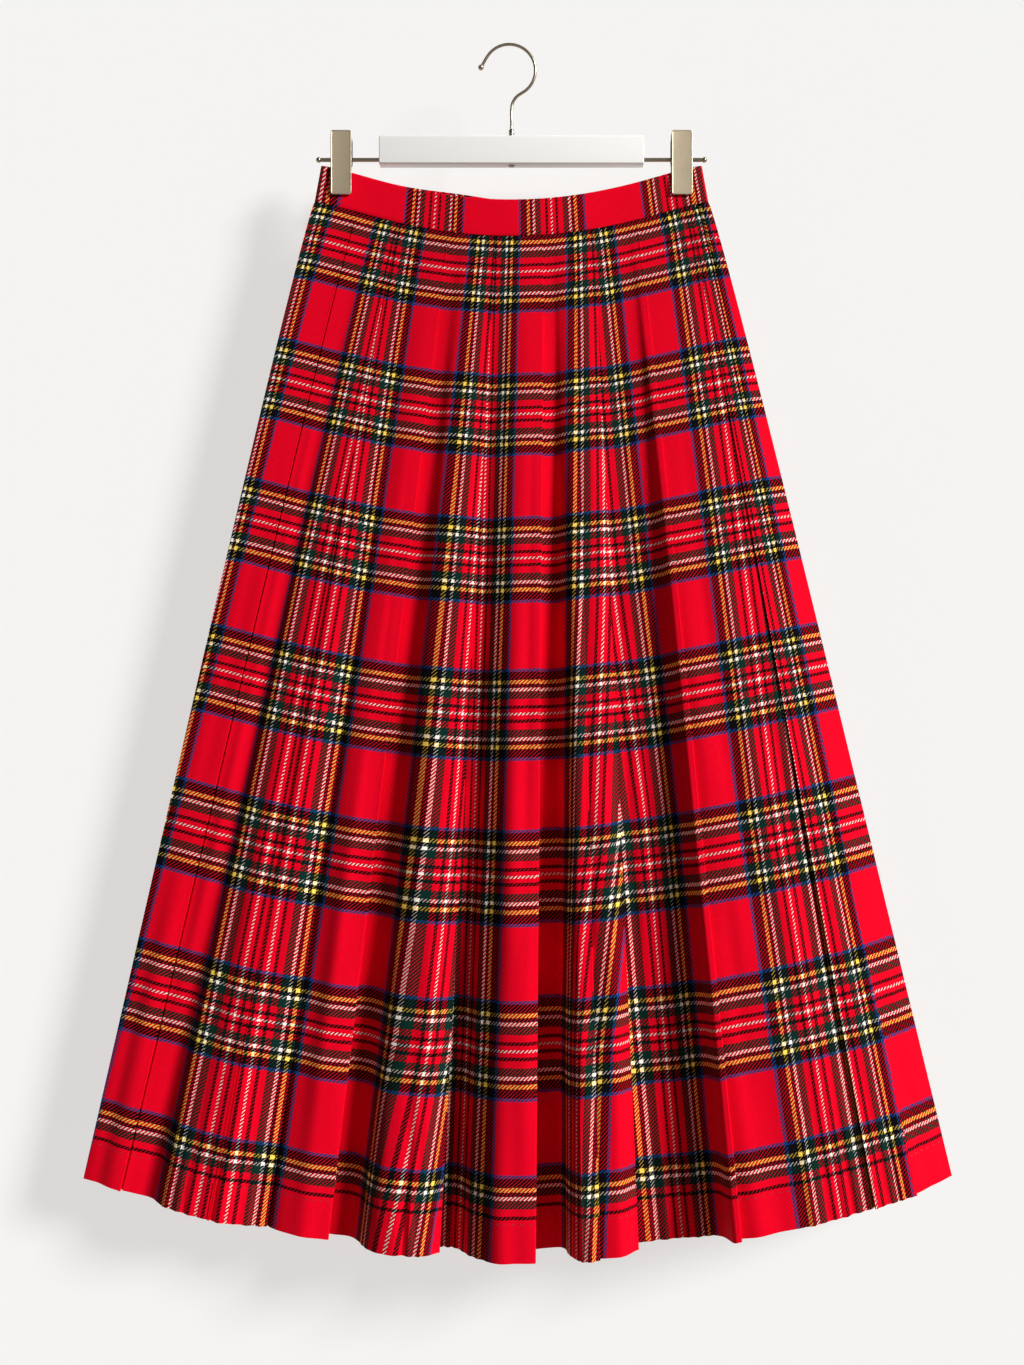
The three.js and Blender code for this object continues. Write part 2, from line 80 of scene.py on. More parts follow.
@dataclass(frozen=True)
class WaistSizes:
    """The waistband and the seam line that sags under it between the two clips."""

    half_seam: float = 177.0
    half_top: float = 171.0
    height: float = 32.7
    wall: float = 2.4
    end_z: float = -141.0
    sag: float = 32.3
    sag_power: float = 1.35
    mouth_half: float = 135.0
    front_bow: float = 7.0
    back_bow: float = 5.0
    back_lift: float = 5.0
    back_lift_x: float = -46.0
    back_lift_reach: float = 48.0
    clearance: float = 0.25
    pinch_power: int = 6
    tuck: float = 0.9

    def mouth(self, x: np.ndarray) -> np.ndarray:
        """How far the mouth stands open: (1 - s squared) squared, s from 0 mid-way to 1 at the clips."""
        s = np.minimum(np.abs(x) / self.mouth_half, 1)
        return (1 - s * s) ** 2

    def seam_height(self, x: np.ndarray) -> np.ndarray:
        """Height of the seam: its end height less the sag times (1 - s squared) to a power."""
        s = np.minimum(np.abs(x) / self.half_seam, 1)
        return self.end_z - self.sag * (1 - s * s) ** self.sag_power

    def seam_forward(self, x: np.ndarray, bow: float, drop: np.ndarray) -> np.ndarray:
        """Outer face of the pleats at the seam; at drop 1 a fold tucks behind its neighbour."""
        side = CLOTH.seam_gap / 2 + CLOTH.wall
        room = self.wall - CLOTH.wall - self.clearance
        pinched = (np.abs(x) / self.half_seam) ** self.pinch_power
        return side + room * (1 - pinched) * (1 - self.tuck * drop) + bow * self.mouth(x)


CLOTH = ClothSizes()
WAIST = WaistSizes()


def hip_bulge(seam_x: np.ndarray | float, t: np.ndarray) -> np.ndarray:
    """How far a line of cloth from seam_x stands further out to its side at shares t of the drop."""
    return CLOTH.hip_bulge * np.sin(math.pi * np.sqrt(t)) * seam_x / WAIST.half_seam


# Folds and the tartan's place on them.


@dataclass(frozen=True)
class Fold:
    """A straight line of cloth from the seam to the hem.

    A row with a step is a pressed edge: the cloth right of it starts that much further back at
    the hem. repeat is the tartan's place at the hem, or None where it runs evenly.
    """

    name: str
    seam_x: float
    hem_x: float
    forward: float
    step: float = 0.0
    repeat: float | None = None


@dataclass(frozen=True)
class WarpLine:
    """The tartan's repeats along a fold, left and right of its edge, at each of STATIONS."""

    fold: str
    left: tuple[float, ...]
    right: tuple[float, ...]


@dataclass(frozen=True)
class SoftFold:
    """A soft ridge (or, below zero, a trough) along the cloth, between two shares of its length."""

    seam_x: float
    hem_x: float
    start: float
    end: float
    width: float
    depth: float


STATIONS = (0.0, 0.35, 0.6, 0.8, 1.0)

FRONT_FOLDS = (
    Fold("left side", -177, -385, 1.35),
    Fold("left crest", -158, -368, 8),
    Fold("first fold", -139.4, -350, 11, 3),
    Fold("first valley", -125, -323, 9),
    Fold("second rise", -120, -309, 22),
    Fold("second crest", -109, -284, 31),
    Fold("second fold", -100.8, -266, 33, 0.1),
    Fold("second fall", -90, -243, 29),
    Fold("second edge", -79, -219, 20, 5),
    Fold("third crest", -66, -187, 32),
    Fold("third fold", -55.8, -163, 28, 18),
    Fold("third valley", -47.5, -142, 15, 0, 1.17),
    Fold("fourth rise", -40, -123, 46, 0, 1.44),
    Fold("fourth crest", -32, -96, 54, 0, 1.57),
    Fold("fourth fall", -23, -77, 50, 0, 1.72),
    Fold("fourth fold", -14.9, -64.5, 36, 18),
    Fold("fourth valley", -8.5, -51, 22, 0, 0.45),
    Fold("fifth rise", 0, -34, 46, 0, 0.655),
    Fold("fifth crest", 14, -9, 67, 0, 0.85),
    Fold("fifth fold", 27.5, 19.5, 66, 40),
    Fold("fifth valley", 36.5, 44, 23, 0, 1.21),
    Fold("sixth rise", 42, 51, 50, 0, 1.36),
    Fold("sixth crest", 48.5, 62, 71, 0, 1.64),
    Fold("sixth edge", 54, 75, 70, 7, 1.735),
    Fold("sixth fall", 64, 95, 67, 0, 1.89),
    Fold("sixth fold", 71.6, 109.5, 49, 21),
    Fold("sixth valley", 82, 141, 28, 0, 0.41),
    Fold("seventh rise", 101, 182, 40, 0, 0.8),
    Fold("seventh crest", 108, 192, 71, 0, 0.89),
    Fold("seventh fold", 111.7, 196.5, 72, 10),
    Fold("eighth crest", 119, 215, 63.5),
    Fold("eighth fall", 133, 253, 60, 0, 1.25),
    Fold("eighth shelf", 147, 289, 54, 0, 1.52),
    Fold("eighth fold", 157.1, 318, 42, -7),
    Fold("ninth crest", 163, 336, 41, 0, 0.62),
    Fold("ninth edge", 168.5, 355.5, 34, 5, 0.8),
    Fold("ninth fall", 173, 376, 16, 0, 0.93),
    Fold("right side", 177, 396, 1.35),
)

FRONT_WARP = (
    WarpLine("left side", (0, 0, 0, 0, 0), (-0.42, -0.36, -0.3, -0.25, -0.21)),
    WarpLine("first fold", (0, 0, 0, 0, 0), (0, 0, 0, 0, 0)),
    WarpLine("second fold", (0.47, 0.565, 0.57, 0.58, 0.587), (0.53, 0.44, 0.435, 0.43, 0.413)),
    WarpLine("third fold", (1, 1.03, 1.055, 1.07, 1.09), (1, 1.03, 1.055, 1.07, 1.09)),
    WarpLine("fourth fold", (1.45, 1.52, 1.565, 1.65, 1.86), (0.53, 0.42, 0.36, 0.31, 0.27)),
    WarpLine("fifth fold", (1, 1.02, 1.035, 1.05, 1.06), (1, 1.02, 1.035, 1.05, 1.06)),
    WarpLine("sixth fold", (1.45, 1.53, 1.66, 1.9, 1.99), (0.57, 0.47, 0.31, 0.265, 0.215)),
    WarpLine("seventh fold", (1, 0.985, 0.97, 0.96, 0.95), (1, 0.96, 0.94, 0.92, 0.9)),
    WarpLine("eighth fold", (1.47, 1.6, 1.7, 1.715, 1.72), (0.53, 0.51, 0.5, 0.495, 0.49)),
    WarpLine("right side", (0.85, 0.9, 0.94, 0.97, 1.0), (0, 0, 0, 0, 0)),
)

FRONT_SOFT_FOLDS = (
    SoftFold(-168, -372, 0.35, 1.0, 7, -1.2),
    SoftFold(-131, -337, 0.2, 0.8, 6, 1.0),
    SoftFold(-112, -296, 0.3, 0.95, 5, -0.9),
    SoftFold(-95, -255, 0.4, 1.0, 6, 1.1),
    SoftFold(-85, -232, 0.15, 0.7, 5, -0.8),
    SoftFold(-62, -182, 0.3, 0.9, 6, -1.0),
    SoftFold(-44, -131, 0.25, 0.85, 5, -1.0),
    SoftFold(-36, -107, 0.5, 1.0, 6, 0.9),
    SoftFold(-19, -70, 0.3, 0.8, 4, -0.8),
    SoftFold(3, -27, 0.35, 1.0, 7, -1.2),
    SoftFold(20, 7, 0.2, 0.75, 6, -0.7),
    SoftFold(51, 69, 0.3, 0.8, 4, 0.7),
    SoftFold(60, 88, 0.45, 1.0, 6, -1.1),
    SoftFold(76, 124, 0.3, 0.9, 5, -0.9),
    SoftFold(90, 152, 0.2, 0.8, 6, 0.8),
    SoftFold(101, 175, 0.45, 1.0, 6, -1.0),
    SoftFold(125, 235, 0.3, 1.0, 8, -1.4),
    SoftFold(140, 272, 0.25, 0.85, 7, 1.1),
    SoftFold(151, 300, 0.4, 1.0, 6, -1.0),
    SoftFold(165, 345, 0.3, 0.9, 6, -0.9),
)

# The back as someone behind the skirt sees it, left to right.
BACK_FOLDS = (
    Fold("right side", -177, -396, 1.35),
    Fold("first crest", -160, -362, 9),
    Fold("first fold", -139, -318, 12, 5),
    Fold("second crest", -119, -271, 14),
    Fold("second fold", -99, -226, 17, 9),
    Fold("third crest", -78, -178, 15),
    Fold("third fold", -57, -130, 20, 11),
    Fold("fourth crest", -36, -83, 16),
    Fold("fourth fold", -14, -36, 21, 12),
    Fold("centre back", 0, -5, 12),
    Fold("fifth crest", 13, 25, 17),
    Fold("fifth fold", 29, 58, 21, 11),
    Fold("sixth crest", 50, 105, 15),
    Fold("sixth fold", 71, 152, 20, 10),
    Fold("seventh crest", 91, 197, 14),
    Fold("seventh fold", 112, 242, 17, 8),
    Fold("eighth crest", 131, 288, 12),
    Fold("eighth fold", 150, 330, 12, 5),
    Fold("ninth crest", 164, 359, 8),
    Fold("left side", 177, 385, 1.35),
)

BACK_WARP = (
    WarpLine("right side", (0, 0, 0, 0, 0), (-0.4, -0.42, -0.44, -0.46, -0.48)),
    WarpLine("first fold", (0, 0, 0, 0, 0), (0, 0.01, 0.02, 0.03, 0.04)),
    WarpLine("second fold", (0.47, 0.53, 0.57, 0.6, 0.62), (0.53, 0.46, 0.42, 0.39, 0.37)),
    WarpLine("third fold", (1, 0.99, 0.99, 0.98, 0.98), (1, 1.02, 1.03, 1.04, 1.05)),
    WarpLine("fourth fold", (1.47, 1.55, 1.6, 1.63, 1.66), (0.53, 0.45, 0.4, 0.37, 0.35)),
    WarpLine("fifth fold", (1, 0.99, 0.98, 0.97, 0.97), (1, 1.01, 1.02, 1.03, 1.04)),
    WarpLine("sixth fold", (1.47, 1.54, 1.59, 1.62, 1.64), (0.53, 0.45, 0.41, 0.38, 0.36)),
    WarpLine("seventh fold", (1, 0.99, 0.98, 0.97, 0.96), (1, 1.01, 1.02, 1.03, 1.03)),
    WarpLine("eighth fold", (1.47, 1.53, 1.57, 1.6, 1.61), (0.53, 0.5, 0.48, 0.47, 0.46)),
    WarpLine("left side", (0.82, 0.82, 0.82, 0.82, 0.82), (0, 0, 0, 0, 0)),
)

BACK_SOFT_FOLDS = (
    SoftFold(-168, -376, 0.3, 1.0, 7, -1.1),
    SoftFold(-149, -340, 0.2, 0.75, 6, 0.9),
    SoftFold(-128, -292, 0.4, 1.0, 7, -1.2),
    SoftFold(-108, -247, 0.25, 0.9, 6, 0.8),
    SoftFold(-88, -201, 0.35, 1.0, 7, -1.1),
    SoftFold(-66, -152, 0.15, 0.7, 6, 0.9),
    SoftFold(-45, -104, 0.4, 1.0, 7, -1.0),
    SoftFold(-24, -57, 0.3, 0.85, 6, -0.8),
    SoftFold(7, 11, 0.3, 1.0, 6, -0.9),
    SoftFold(21, 42, 0.2, 0.8, 6, 0.8),
    SoftFold(40, 82, 0.35, 1.0, 7, -1.1),
    SoftFold(61, 129, 0.3, 0.9, 6, 0.8),
    SoftFold(82, 176, 0.4, 1.0, 7, -1.0),
    SoftFold(102, 220, 0.2, 0.8, 6, 0.9),
    SoftFold(122, 266, 0.35, 1.0, 7, -1.2),
    SoftFold(157, 345, 0.3, 0.95, 6, -0.9),
)


# Sett: each yarn stripe of the tartan, from the middle of a band to the middle of the ground.


class Yarn(Enum):
    """The yarns: sRGB colour, and how light each counts where two of them cross."""

    RED = ((219, 0, 30), 0.5)
    BLACK = ((9, 8, 12), 0.0)
    GREEN = ((8, 42, 35), 0.03)
    BLUE = ((20, 60, 122), 0.12)
    WHITE = ((250, 242, 230), 0.86)
    YELLOW = ((255, 214, 88), 0.86)


@dataclass(frozen=True)
class Sett:
    """Half a repeat of the tartan as (start, yarn) pairs; starts are shares of a whole repeat.

    down and repeats_down give the repeats at shares of the drop, and plain is the middle of the
    ground.
    """

    stripes: tuple[tuple[float, Yarn], ...] = (
        (0.0, Yarn.WHITE),
        (0.007, Yarn.RED),
        (0.033, Yarn.BLACK),
        (0.053, Yarn.RED),
        (0.094, Yarn.GREEN),
        (0.144, Yarn.WHITE),
        (0.165, Yarn.BLACK),
        (0.19, Yarn.YELLOW),
        (0.215, Yarn.BLACK),
        (0.268, Yarn.BLUE),
        (0.288, Yarn.RED),
    )
    down: tuple[float, ...] = (0.0, 0.036, 0.179, 0.322, 0.475, 0.633, 0.8, 0.963)
    repeats_down: tuple[float, ...] = (0.25, 0.5, 1.5, 2.5, 3.5, 4.5, 5.5, 6.49)
    plain: float = 7.0


SETT = Sett()


# Small tools for shapes.


@dataclass
class Shape:
    """A mesh in millimetres before it is written: points, and faces as arrays of equal corners."""

    points: np.ndarray
    faces: list[np.ndarray] = field(default_factory=list)
    maps: dict[str, np.ndarray] = field(default_factory=dict)

    def turned_round(self) -> "Shape":
        """The same shape turned half round about Z: x and y both change sign."""
        self.points = self.points * np.array([-1.0, -1.0, 1.0])
        return self

    def moved(self, x: float = 0.0, y: float = 0.0, z: float = 0.0) -> "Shape":
        """The same shape moved by (x, y, z)."""
        self.points = self.points + np.array([x, y, z])
        return self


def joined(shapes: Sequence[Shape]) -> Shape:
    """One shape from several that have no maps.

    Args:
        shapes: The shapes, each with its own points and faces.

    Returns:
        A shape with all the points, and faces that count on from one shape to the next.
    """
    starts = np.cumsum([0] + [len(s.points) for s in shapes])
    faces = [f + start for s, start in zip(shapes, starts) for f in s.faces]
    return Shape(np.concatenate([s.points for s in shapes]), faces)


def smooth_step(x: np.ndarray | float, low: float, high: float) -> np.ndarray:
    """0 below low, 1 above high, and 3s squared - 2s cubed between them."""
    s = np.clip((np.asarray(x, float) - low) / (high - low), 0, 1)
    return s * s * (3 - 2 * s)


def centripetal(points: np.ndarray, at: np.ndarray) -> np.ndarray:
    """A centripetal Catmull-Rom curve through points, as the part's own source uses.

    Between two points it is the cubic whose end slopes come from chords divided by the square
    root of their lengths.

    Args:
        points: Control points, one a row.
        at: Places along the curve, from 0 at the first point to len(points) - 1 at the last.

    Returns:
        One point of the curve for each place.
    """
    ends = np.vstack([2 * points[0] - points[1], points, 2 * points[-1] - points[-2]])
    chord = np.sqrt(np.maximum(np.linalg.norm(np.diff(ends, axis=0), axis=1), 1e-6))
    part = np.clip(np.floor(at).astype(int), 0, len(points) - 2)
    u = (at - part)[:, None]
    p0, p1, p2, p3 = (ends[part + k] for k in range(4))
    d0, d1, d2 = (chord[part + k][:, None] for k in range(3))
    m1 = ((p1 - p0) / d0 - (p2 - p0) / (d0 + d1) + (p2 - p1) / d1) * d1
    m2 = ((p2 - p1) / d1 - (p3 - p1) / (d1 + d2) + (p3 - p2) / d2) * d1
    return p1 + m1 * u + (3 * (p2 - p1) - 2 * m1 - m2) * u**2 + (2 * (p1 - p2) + m1 + m2) * u**3


def stacked_rings(rings: np.ndarray) -> Shape:
    """A closed shape through rings of equally many points, with a flat cap on each end.

    Args:
        rings: Array of rings by points by 3. Seen from the last ring, points run anticlockwise.

    Returns:
        The closed shape, with quads between the rings.
    """
    count, sides = rings.shape[:2]
    index = np.arange(count * sides).reshape(count, sides)
    after = np.roll(index, -1, axis=1)
    quads = np.stack([index[:-1], after[:-1], after[1:], index[1:]], -1).reshape(-1, 4)
    return Shape(rings.reshape(-1, 3), [quads, index[:1, ::-1], index[-1:]])


def turned(profile: Sequence[tuple[float, float]], sides: int = 48) -> Shape:
    """A body of revolution about +Z: each (radius, height) becomes a ring of that radius."""
    radius, height = np.array(profile, float).T
    angle = np.linspace(0, TAU, sides, endpoint=False)
    ring = np.stack([np.cos(angle), np.sin(angle)], -1)
    flat = radius[:, None, None] * ring[None]
    tall = np.broadcast_to(height[:, None, None], flat.shape[:2] + (1,))
    return stacked_rings(np.concatenate([flat, tall], -1))


def ball_profile(radius: float, last: float, count: int) -> list[tuple[float, float]]:
    """(radius, height) of a ball about the origin, from its foot up to an angle.

    No radius is under POLE, so that no face at the axis has a corner on top of another.
    """
    angles = np.linspace(-math.pi / 2, last, count)
    return [(max(radius * math.cos(a), POLE), radius * math.sin(a)) for a in angles]


def tube(path: np.ndarray, radius: float, sides: int = 24) -> Shape:
    """A round tube along a path in the plane y = 0.

    Each ring is the path's point plus radius times (cos a times the normal in the plane, plus
    sin a times -Y).

    Args:
        path: Points of the centre line, with y = 0.
        radius: Radius of the tube.
        sides: Points round the tube.

    Returns:
        The closed tube.
    """
    along = np.gradient(path, axis=0)
    along /= np.linalg.norm(along, axis=1)[:, None]
    normal = np.stack([-along[:, 2], np.zeros(len(path)), along[:, 0]], -1)
    angle = np.linspace(0, TAU, sides, endpoint=False)[None, :, None]
    side = np.array([0.0, -1.0, 0.0])[None, None]
    return stacked_rings(path[:, None] + radius * (np.cos(angle) * normal[:, None] + np.sin(angle) * side))


def rounded_outline(width: float, height: float, corner: float, steps: int = 8) -> np.ndarray:
    """A rectangle with rounded corners in the X-Z plane, anticlockwise as seen from -Y."""
    quarter = np.linspace(0, math.pi / 2, steps)
    corners = []
    for k, (sx, sz) in enumerate([(1, -1), (1, 1), (-1, 1), (-1, -1)]):
        angle = quarter + (k - 1) * math.pi / 2
        x = sx * (width / 2 - corner) + corner * np.cos(angle)
        z = sz * (height / 2 - corner) + corner * np.sin(angle)
        corners.append(np.stack([x, z], -1))
    return np.concatenate(corners)


def slab(
    width: float, height: float, corner: float, levels: Sequence[tuple[float, float]]
) -> Shape:
    """A plate standing in the X-Z plane, built as rounded outlines that step towards -Y.

    Args:
        width: Width of the widest outline.
        height: Height of the widest outline.
        corner: Corner radius of the widest outline.
        levels: (inset, forward) pairs from the back face to the front face.

    Returns:
        The closed plate, its back face at the first level's forward.
    """
    rings = []
    for inset, forward in levels:
        flat = rounded_outline(width - 2 * inset, height - 2 * inset, max(corner - inset, 0.15))
        rings.append(np.stack([flat[:, 0], np.full(len(flat), -forward), flat[:, 1]], -1))
    return stacked_rings(np.array(rings))


def round_edges(depth: float, bevel: float, steps: int = 4) -> list[tuple[float, float]]:
    """Levels of a slab whose front and back edges are quarter rounds of one bevel."""
    angle = np.linspace(0, math.pi / 2, steps)
    back = [(bevel * (1 - math.sin(a)), bevel * (1 - math.cos(a))) for a in angle]
    return back + [(inset, depth - forward) for inset, forward in reversed(back)]


# Shader tools.


def arithmetic(operation: str, swapped: bool = False) -> "Callable[[Wire, Wire | float], Wire]":
    """A method of Wire for one operator.

    Args:
        operation: What the Math node does.
        swapped: Whether the other term comes first.

    Returns:
        The method, which adds the node to the wire's recipe.
    """

    def method(wire: "Wire", other: "Wire | float") -> "Wire":
        """Adds the node."""
        return wire.recipe.maths(operation, *((other, wire) if swapped else (wire, other)))

    return method


class Wire:
    """One output of a node, with arithmetic that adds Math nodes to the same recipe."""

    def __init__(self, recipe: "Recipe", socket: bpy.types.NodeSocket) -> None:
        """Keeps the recipe and the socket."""
        self.recipe = recipe
        self.socket = socket

    __add__ = __radd__ = arithmetic("ADD")
    __sub__ = arithmetic("SUBTRACT")
    __rsub__ = arithmetic("SUBTRACT", swapped=True)
    __mul__ = arithmetic("MULTIPLY")
    __truediv__ = arithmetic("DIVIDE")
    __lt__ = arithmetic("LESS_THAN")

    def __abs__(self) -> "Wire":
        """The size of self."""
        return self.recipe.maths("ABSOLUTE", self)

    def fraction(self) -> "Wire":
        """What is left of self after its whole part."""
        return self.recipe.maths("FRACT", self)

    def between(self, low: float, high: float) -> "Wire":
        """self kept from low to high."""
        return self.recipe.maths("MAXIMUM", self.recipe.maths("MINIMUM", self, high), low)

    def part(self, axis: str) -> "Wire":
        """The X, Y or Z part of a vector."""
        node = self.recipe.node("ShaderNodeSeparateXYZ", {}, {0: self})
        return Wire(self.recipe, node.outputs[axis])


class Recipe:
    """A material and the nodes that make it."""

    def __init__(self, name: str) -> None:
        """Starts an empty material with only its output."""
        self.material = bpy.data.materials.new(name)
        self.material.use_nodes = True
        self.tree = self.material.node_tree
        self.tree.nodes.clear()
        self.output = self.tree.nodes.new("ShaderNodeOutputMaterial")

    def node(self, kind: str, settings: dict[str, Any], values: dict[Any, Any]) -> bpy.types.Node:
        """Adds one node.

        Args:
            kind: The node's type.
            settings: Its properties; "stops" fills a ramp with (place, colour) pairs.
            values: Socket name or number to a number, a colour or a Wire.

        Returns:
            The new node.
        """
        node = self.tree.nodes.new(kind)
        for key, value in settings.items():
            if key == "stops":
                self._fill_ramp(node.color_ramp, value)
            else:
                setattr(node, key, value)
        for key, value in values.items():
            if isinstance(value, Wire):
                self.tree.links.new(value.socket, node.inputs[key])
            else:
                node.inputs[key].default_value = value
        return node

    @staticmethod
    def _fill_ramp(ramp: bpy.types.ColorRamp, stops: Sequence[tuple[float, tuple]]) -> None:
        """Puts (place, colour) pairs on a ramp whose colours don't blend."""
        ramp.interpolation = "CONSTANT"
        while len(ramp.elements) > 1:
            ramp.elements.remove(ramp.elements[-1])
        ramp.elements[0].position = stops[0][0]
        ramp.elements[0].color = stops[0][1]
        for place, colour in stops[1:]:
            ramp.elements.new(place).color = colour

    def wire(self, kind: str, settings: dict[str, Any], values: dict[Any, Any], out: Any = 0) -> Wire:
        """Adds a node and gives one of its outputs."""
        return Wire(self, self.node(kind, settings, values).outputs[out])

    def maths(self, operation: str, *terms: Wire | float) -> Wire:
        """Adds a Math node on one or two terms."""
        return self.wire("ShaderNodeMath", {"operation": operation}, dict(enumerate(terms)))

    def mix(self, factor: Wire | float, first: Any, second: Any, blend: str = "MIX") -> Wire:
        """Adds a colour Mix: first at factor 0, second at factor 1."""
        settings = {"data_type": "RGBA", "blend_type": blend}
        return self.wire("ShaderNodeMix", settings, {0: factor, 6: first, 7: second}, 2)

    def places(self) -> Wire:
        """Object coordinates, in metres."""
        return self.wire("ShaderNodeTexCoord", {}, {}, "Object")

    def noise(self, scale: float, detail: float, vector: Wire | None = None) -> Wire:
        """Noise from 0 to 1 on object coordinates, or on a vector."""
        values = {"Vector": vector or self.places(), "Scale": scale, "Detail": detail}
        return self.wire("ShaderNodeTexNoise", {}, values)

    def stretched(self, scale: tuple[float, float, float]) -> Wire:
        """Object coordinates times a number for each axis."""
        settings = {"operation": "MULTIPLY"}
        return self.wire("ShaderNodeVectorMath", settings, {0: self.places(), 1: scale})

    def bump(self, height: Wire, distance: float, strength: float) -> Wire:
        """A normal that is pushed about by a height."""
        values = {"Height": height, "Distance": distance, "Strength": strength}
        return self.wire("ShaderNodeBump", {}, values, "Normal")

    def principled(self, values: dict[str, Any]) -> Wire:
        """Adds a Principled shader."""
        return self.wire("ShaderNodeBsdfPrincipled", {}, values)

    def finished(self, shader: Wire) -> bpy.types.Material:
        """The material, with a shader joined to its output."""
        self.tree.links.new(shader.socket, self.output.inputs["Surface"])
        return self.material


def linear(colour: tuple[int, int, int]) -> tuple[float, float, float]:
    """An sRGB colour from 0 to 255 as linear light from 0 to 1."""
    c = np.array(colour, float) / 255
    return tuple(np.where(c <= 0.04045, c / 12.92, ((c + 0.055) / 1.055) ** 2.4))


# Finishes.


@dataclass(frozen=True)
class BrushedTartan:
    """Brushed wool in a two-and-two twill, its yarns set out by the sett.

    The warp covers an even share of the face; a lighter yarn gives up some of it, from least to
    most. Crossing yarns are darkened by the difference in their lightness: painted shade between
    the threads, as if the darker fibres shaded the lighter ones, on top of the real blend of colours.
    """

    name: str
    thread: float = 0.9
    lighten: float = 1.0
    nap: float = 0.05
    even: float = 0.46
    given_up: float = 0.42
    least: float = 0.27
    most: float = 0.64
    crossing_shade: float = 0.75

    def make(self) -> bpy.types.Material:
        """Builds the material on the maps "tartan" (repeats) and "thread" (millimetres).

        A diagonal of four threads decides which yarn lies on top.
        """
        r = Recipe(self.name)
        place = r.wire("ShaderNodeUVMap", {"uv_map": "tartan"}, {})
        thread = r.wire("ShaderNodeUVMap", {"uv_map": "thread"}, {})
        across, down = thread.part("X"), thread.part("Y")
        fibre = r.noise(420.0, 2.0)
        wander = (r.noise(260.0, 1.0) - 0.5) * 0.006
        warp, warp_light = self._yarns(r, place.part("X") + wander)
        weft, weft_light = self._yarns(r, place.part("Y") - wander)
        diagonal = ((across + down) / (4 * self.thread) + (fibre - 0.5) * 0.16).fraction()
        share = self.even + (warp_light - weft_light) * -self.given_up
        share = share.between(self.least, self.most)
        top = r.mix(diagonal < share, weft, warp)
        # Painted shade: where yarns of unlike lightness cross, the colour is darkened as if shaded.
        shade = 1 - abs(warp_light - weft_light) * self.crossing_shade
        shown = r.mix(1.0, top, shade, "MULTIPLY")
        # Colour darkens towards the edges of each twill float: painted shade in the grooves between
        # ridges; fibre and cloud noise give random tone.
        ridge = 1 - abs(diagonal - share * 0.5) * 0.9
        cloud = r.noise(35.0, 2.0)
        tone_and_groove_shade = (0.88 + fibre * 0.24) * (0.95 + cloud * 0.1) * (0.88 + ridge * 0.14)
        values = {
            "Base Color": r.mix(1.0, shown, tone_and_groove_shade * self.lighten, "MULTIPLY"),
            "Roughness": 0.88,
            "Specular IOR Level": 0.05,
            "Sheen Weight": self.nap,
            "Sheen Roughness": 0.4,
            "Sheen Tint": (1.0, 0.3, 0.34, 1.0),
            "Normal": r.bump(ridge * 0.6 + fibre * 0.5, 0.00018, 0.7),
        }
        return r.finished(r.principled(values))

    @staticmethod
    def _yarns(r: Recipe, repeats: Wire) -> tuple[Wire, Wire]:
        """Yarn colour and lightness where the sett has run so many repeats."""
        from_band = abs(repeats.fraction() - 0.5) * 2
        stops = [(2 * start, linear(y.value[0]) + (y.value[1],)) for start, y in SETT.stripes]
        ramp = r.node("ShaderNodeValToRGB", {"stops": stops}, {0: from_band})
        return Wire(r, ramp.outputs["Color"]), Wire(r, ramp.outputs["Alpha"])


@dataclass(frozen=True)
class Coloured:
    """What the finishes of a single colour share."""

    name: str
    colour: tuple[int, int, int]

    def toned(self, r: Recipe, tone: Wire) -> Wire:
        """The colour times a tone that varies."""
        return r.mix(1.0, linear(self.colour) + (1.0,), tone, "MULTIPLY")


@dataclass(frozen=True)
class SatinMetal(Coloured):
    """Metal with fine brushing and faint cloudiness."""

    roughness: float
    brushing: tuple[float, float, float] = (300.0, 300.0, 40.0)

    def make(self) -> bpy.types.Material:
        """Builds the material: noise stretched along the brushing feeds roughness and bump."""
        r = Recipe(self.name)
        lines = r.noise(8.0, 3.0, r.stretched(self.brushing))
        cloud = r.noise(60.0, 2.0)
        values = {
            "Base Color": self.toned(r, 0.92 + lines * 0.1 + cloud * 0.06),
            "Metallic": 1.0,
            "Roughness": self.roughness + (lines - 0.5) * 0.14 + (cloud - 0.5) * 0.08,
            "Normal": r.bump(lines, 0.00004, 0.35),
        }
        return r.finished(r.principled(values))


@dataclass(frozen=True)
class Lacquer(Coloured):
    """Lacquered wood: the grain only just shows through a satin coat."""

    def make(self) -> bpy.types.Material:
        """Builds the material: noise drawn out along the bar is the grain."""
        r = Recipe(self.name)
        grain = r.noise(9.0, 4.0, r.stretched((3.0, 60.0, 60.0)))
        speck = r.noise(700.0, 2.0)
        values = {
            "Base Color": self.toned(r, 0.975 + grain * 0.035),
            "Roughness": 0.42 + (speck - 0.5) * 0.1,
            "Coat Weight": 0.18,
            "Coat Roughness": 0.3,
            "Normal": r.bump(grain * 0.7 + speck * 0.2, 0.00012, 0.35),
        }
        return r.finished(r.principled(values))


@dataclass(frozen=True)
class Moulded(Coloured):
    """Moulded rubber or resin with a fine surface and a faint swirl."""

    roughness: float
    swirl: float = 0.08
    coat: float = 0.0

    def make(self) -> bpy.types.Material:
        """Builds the material: low noise swirls the colour, high noise is the moulded grain."""
        r = Recipe(self.name)
        swirl = r.noise(140.0, 3.0)
        grain = r.noise(1600.0, 1.0)
        values = {
            "Base Color": self.toned(r, (1 - self.swirl) + swirl * (2 * self.swirl)),
            "Roughness": self.roughness + (grain - 0.5) * 0.12,
            "Coat Weight": self.coat,
            "Coat Roughness": 0.2,
            "Normal": r.bump(grain, 0.00005, 0.4),
        }
        return r.finished(r.principled(values))


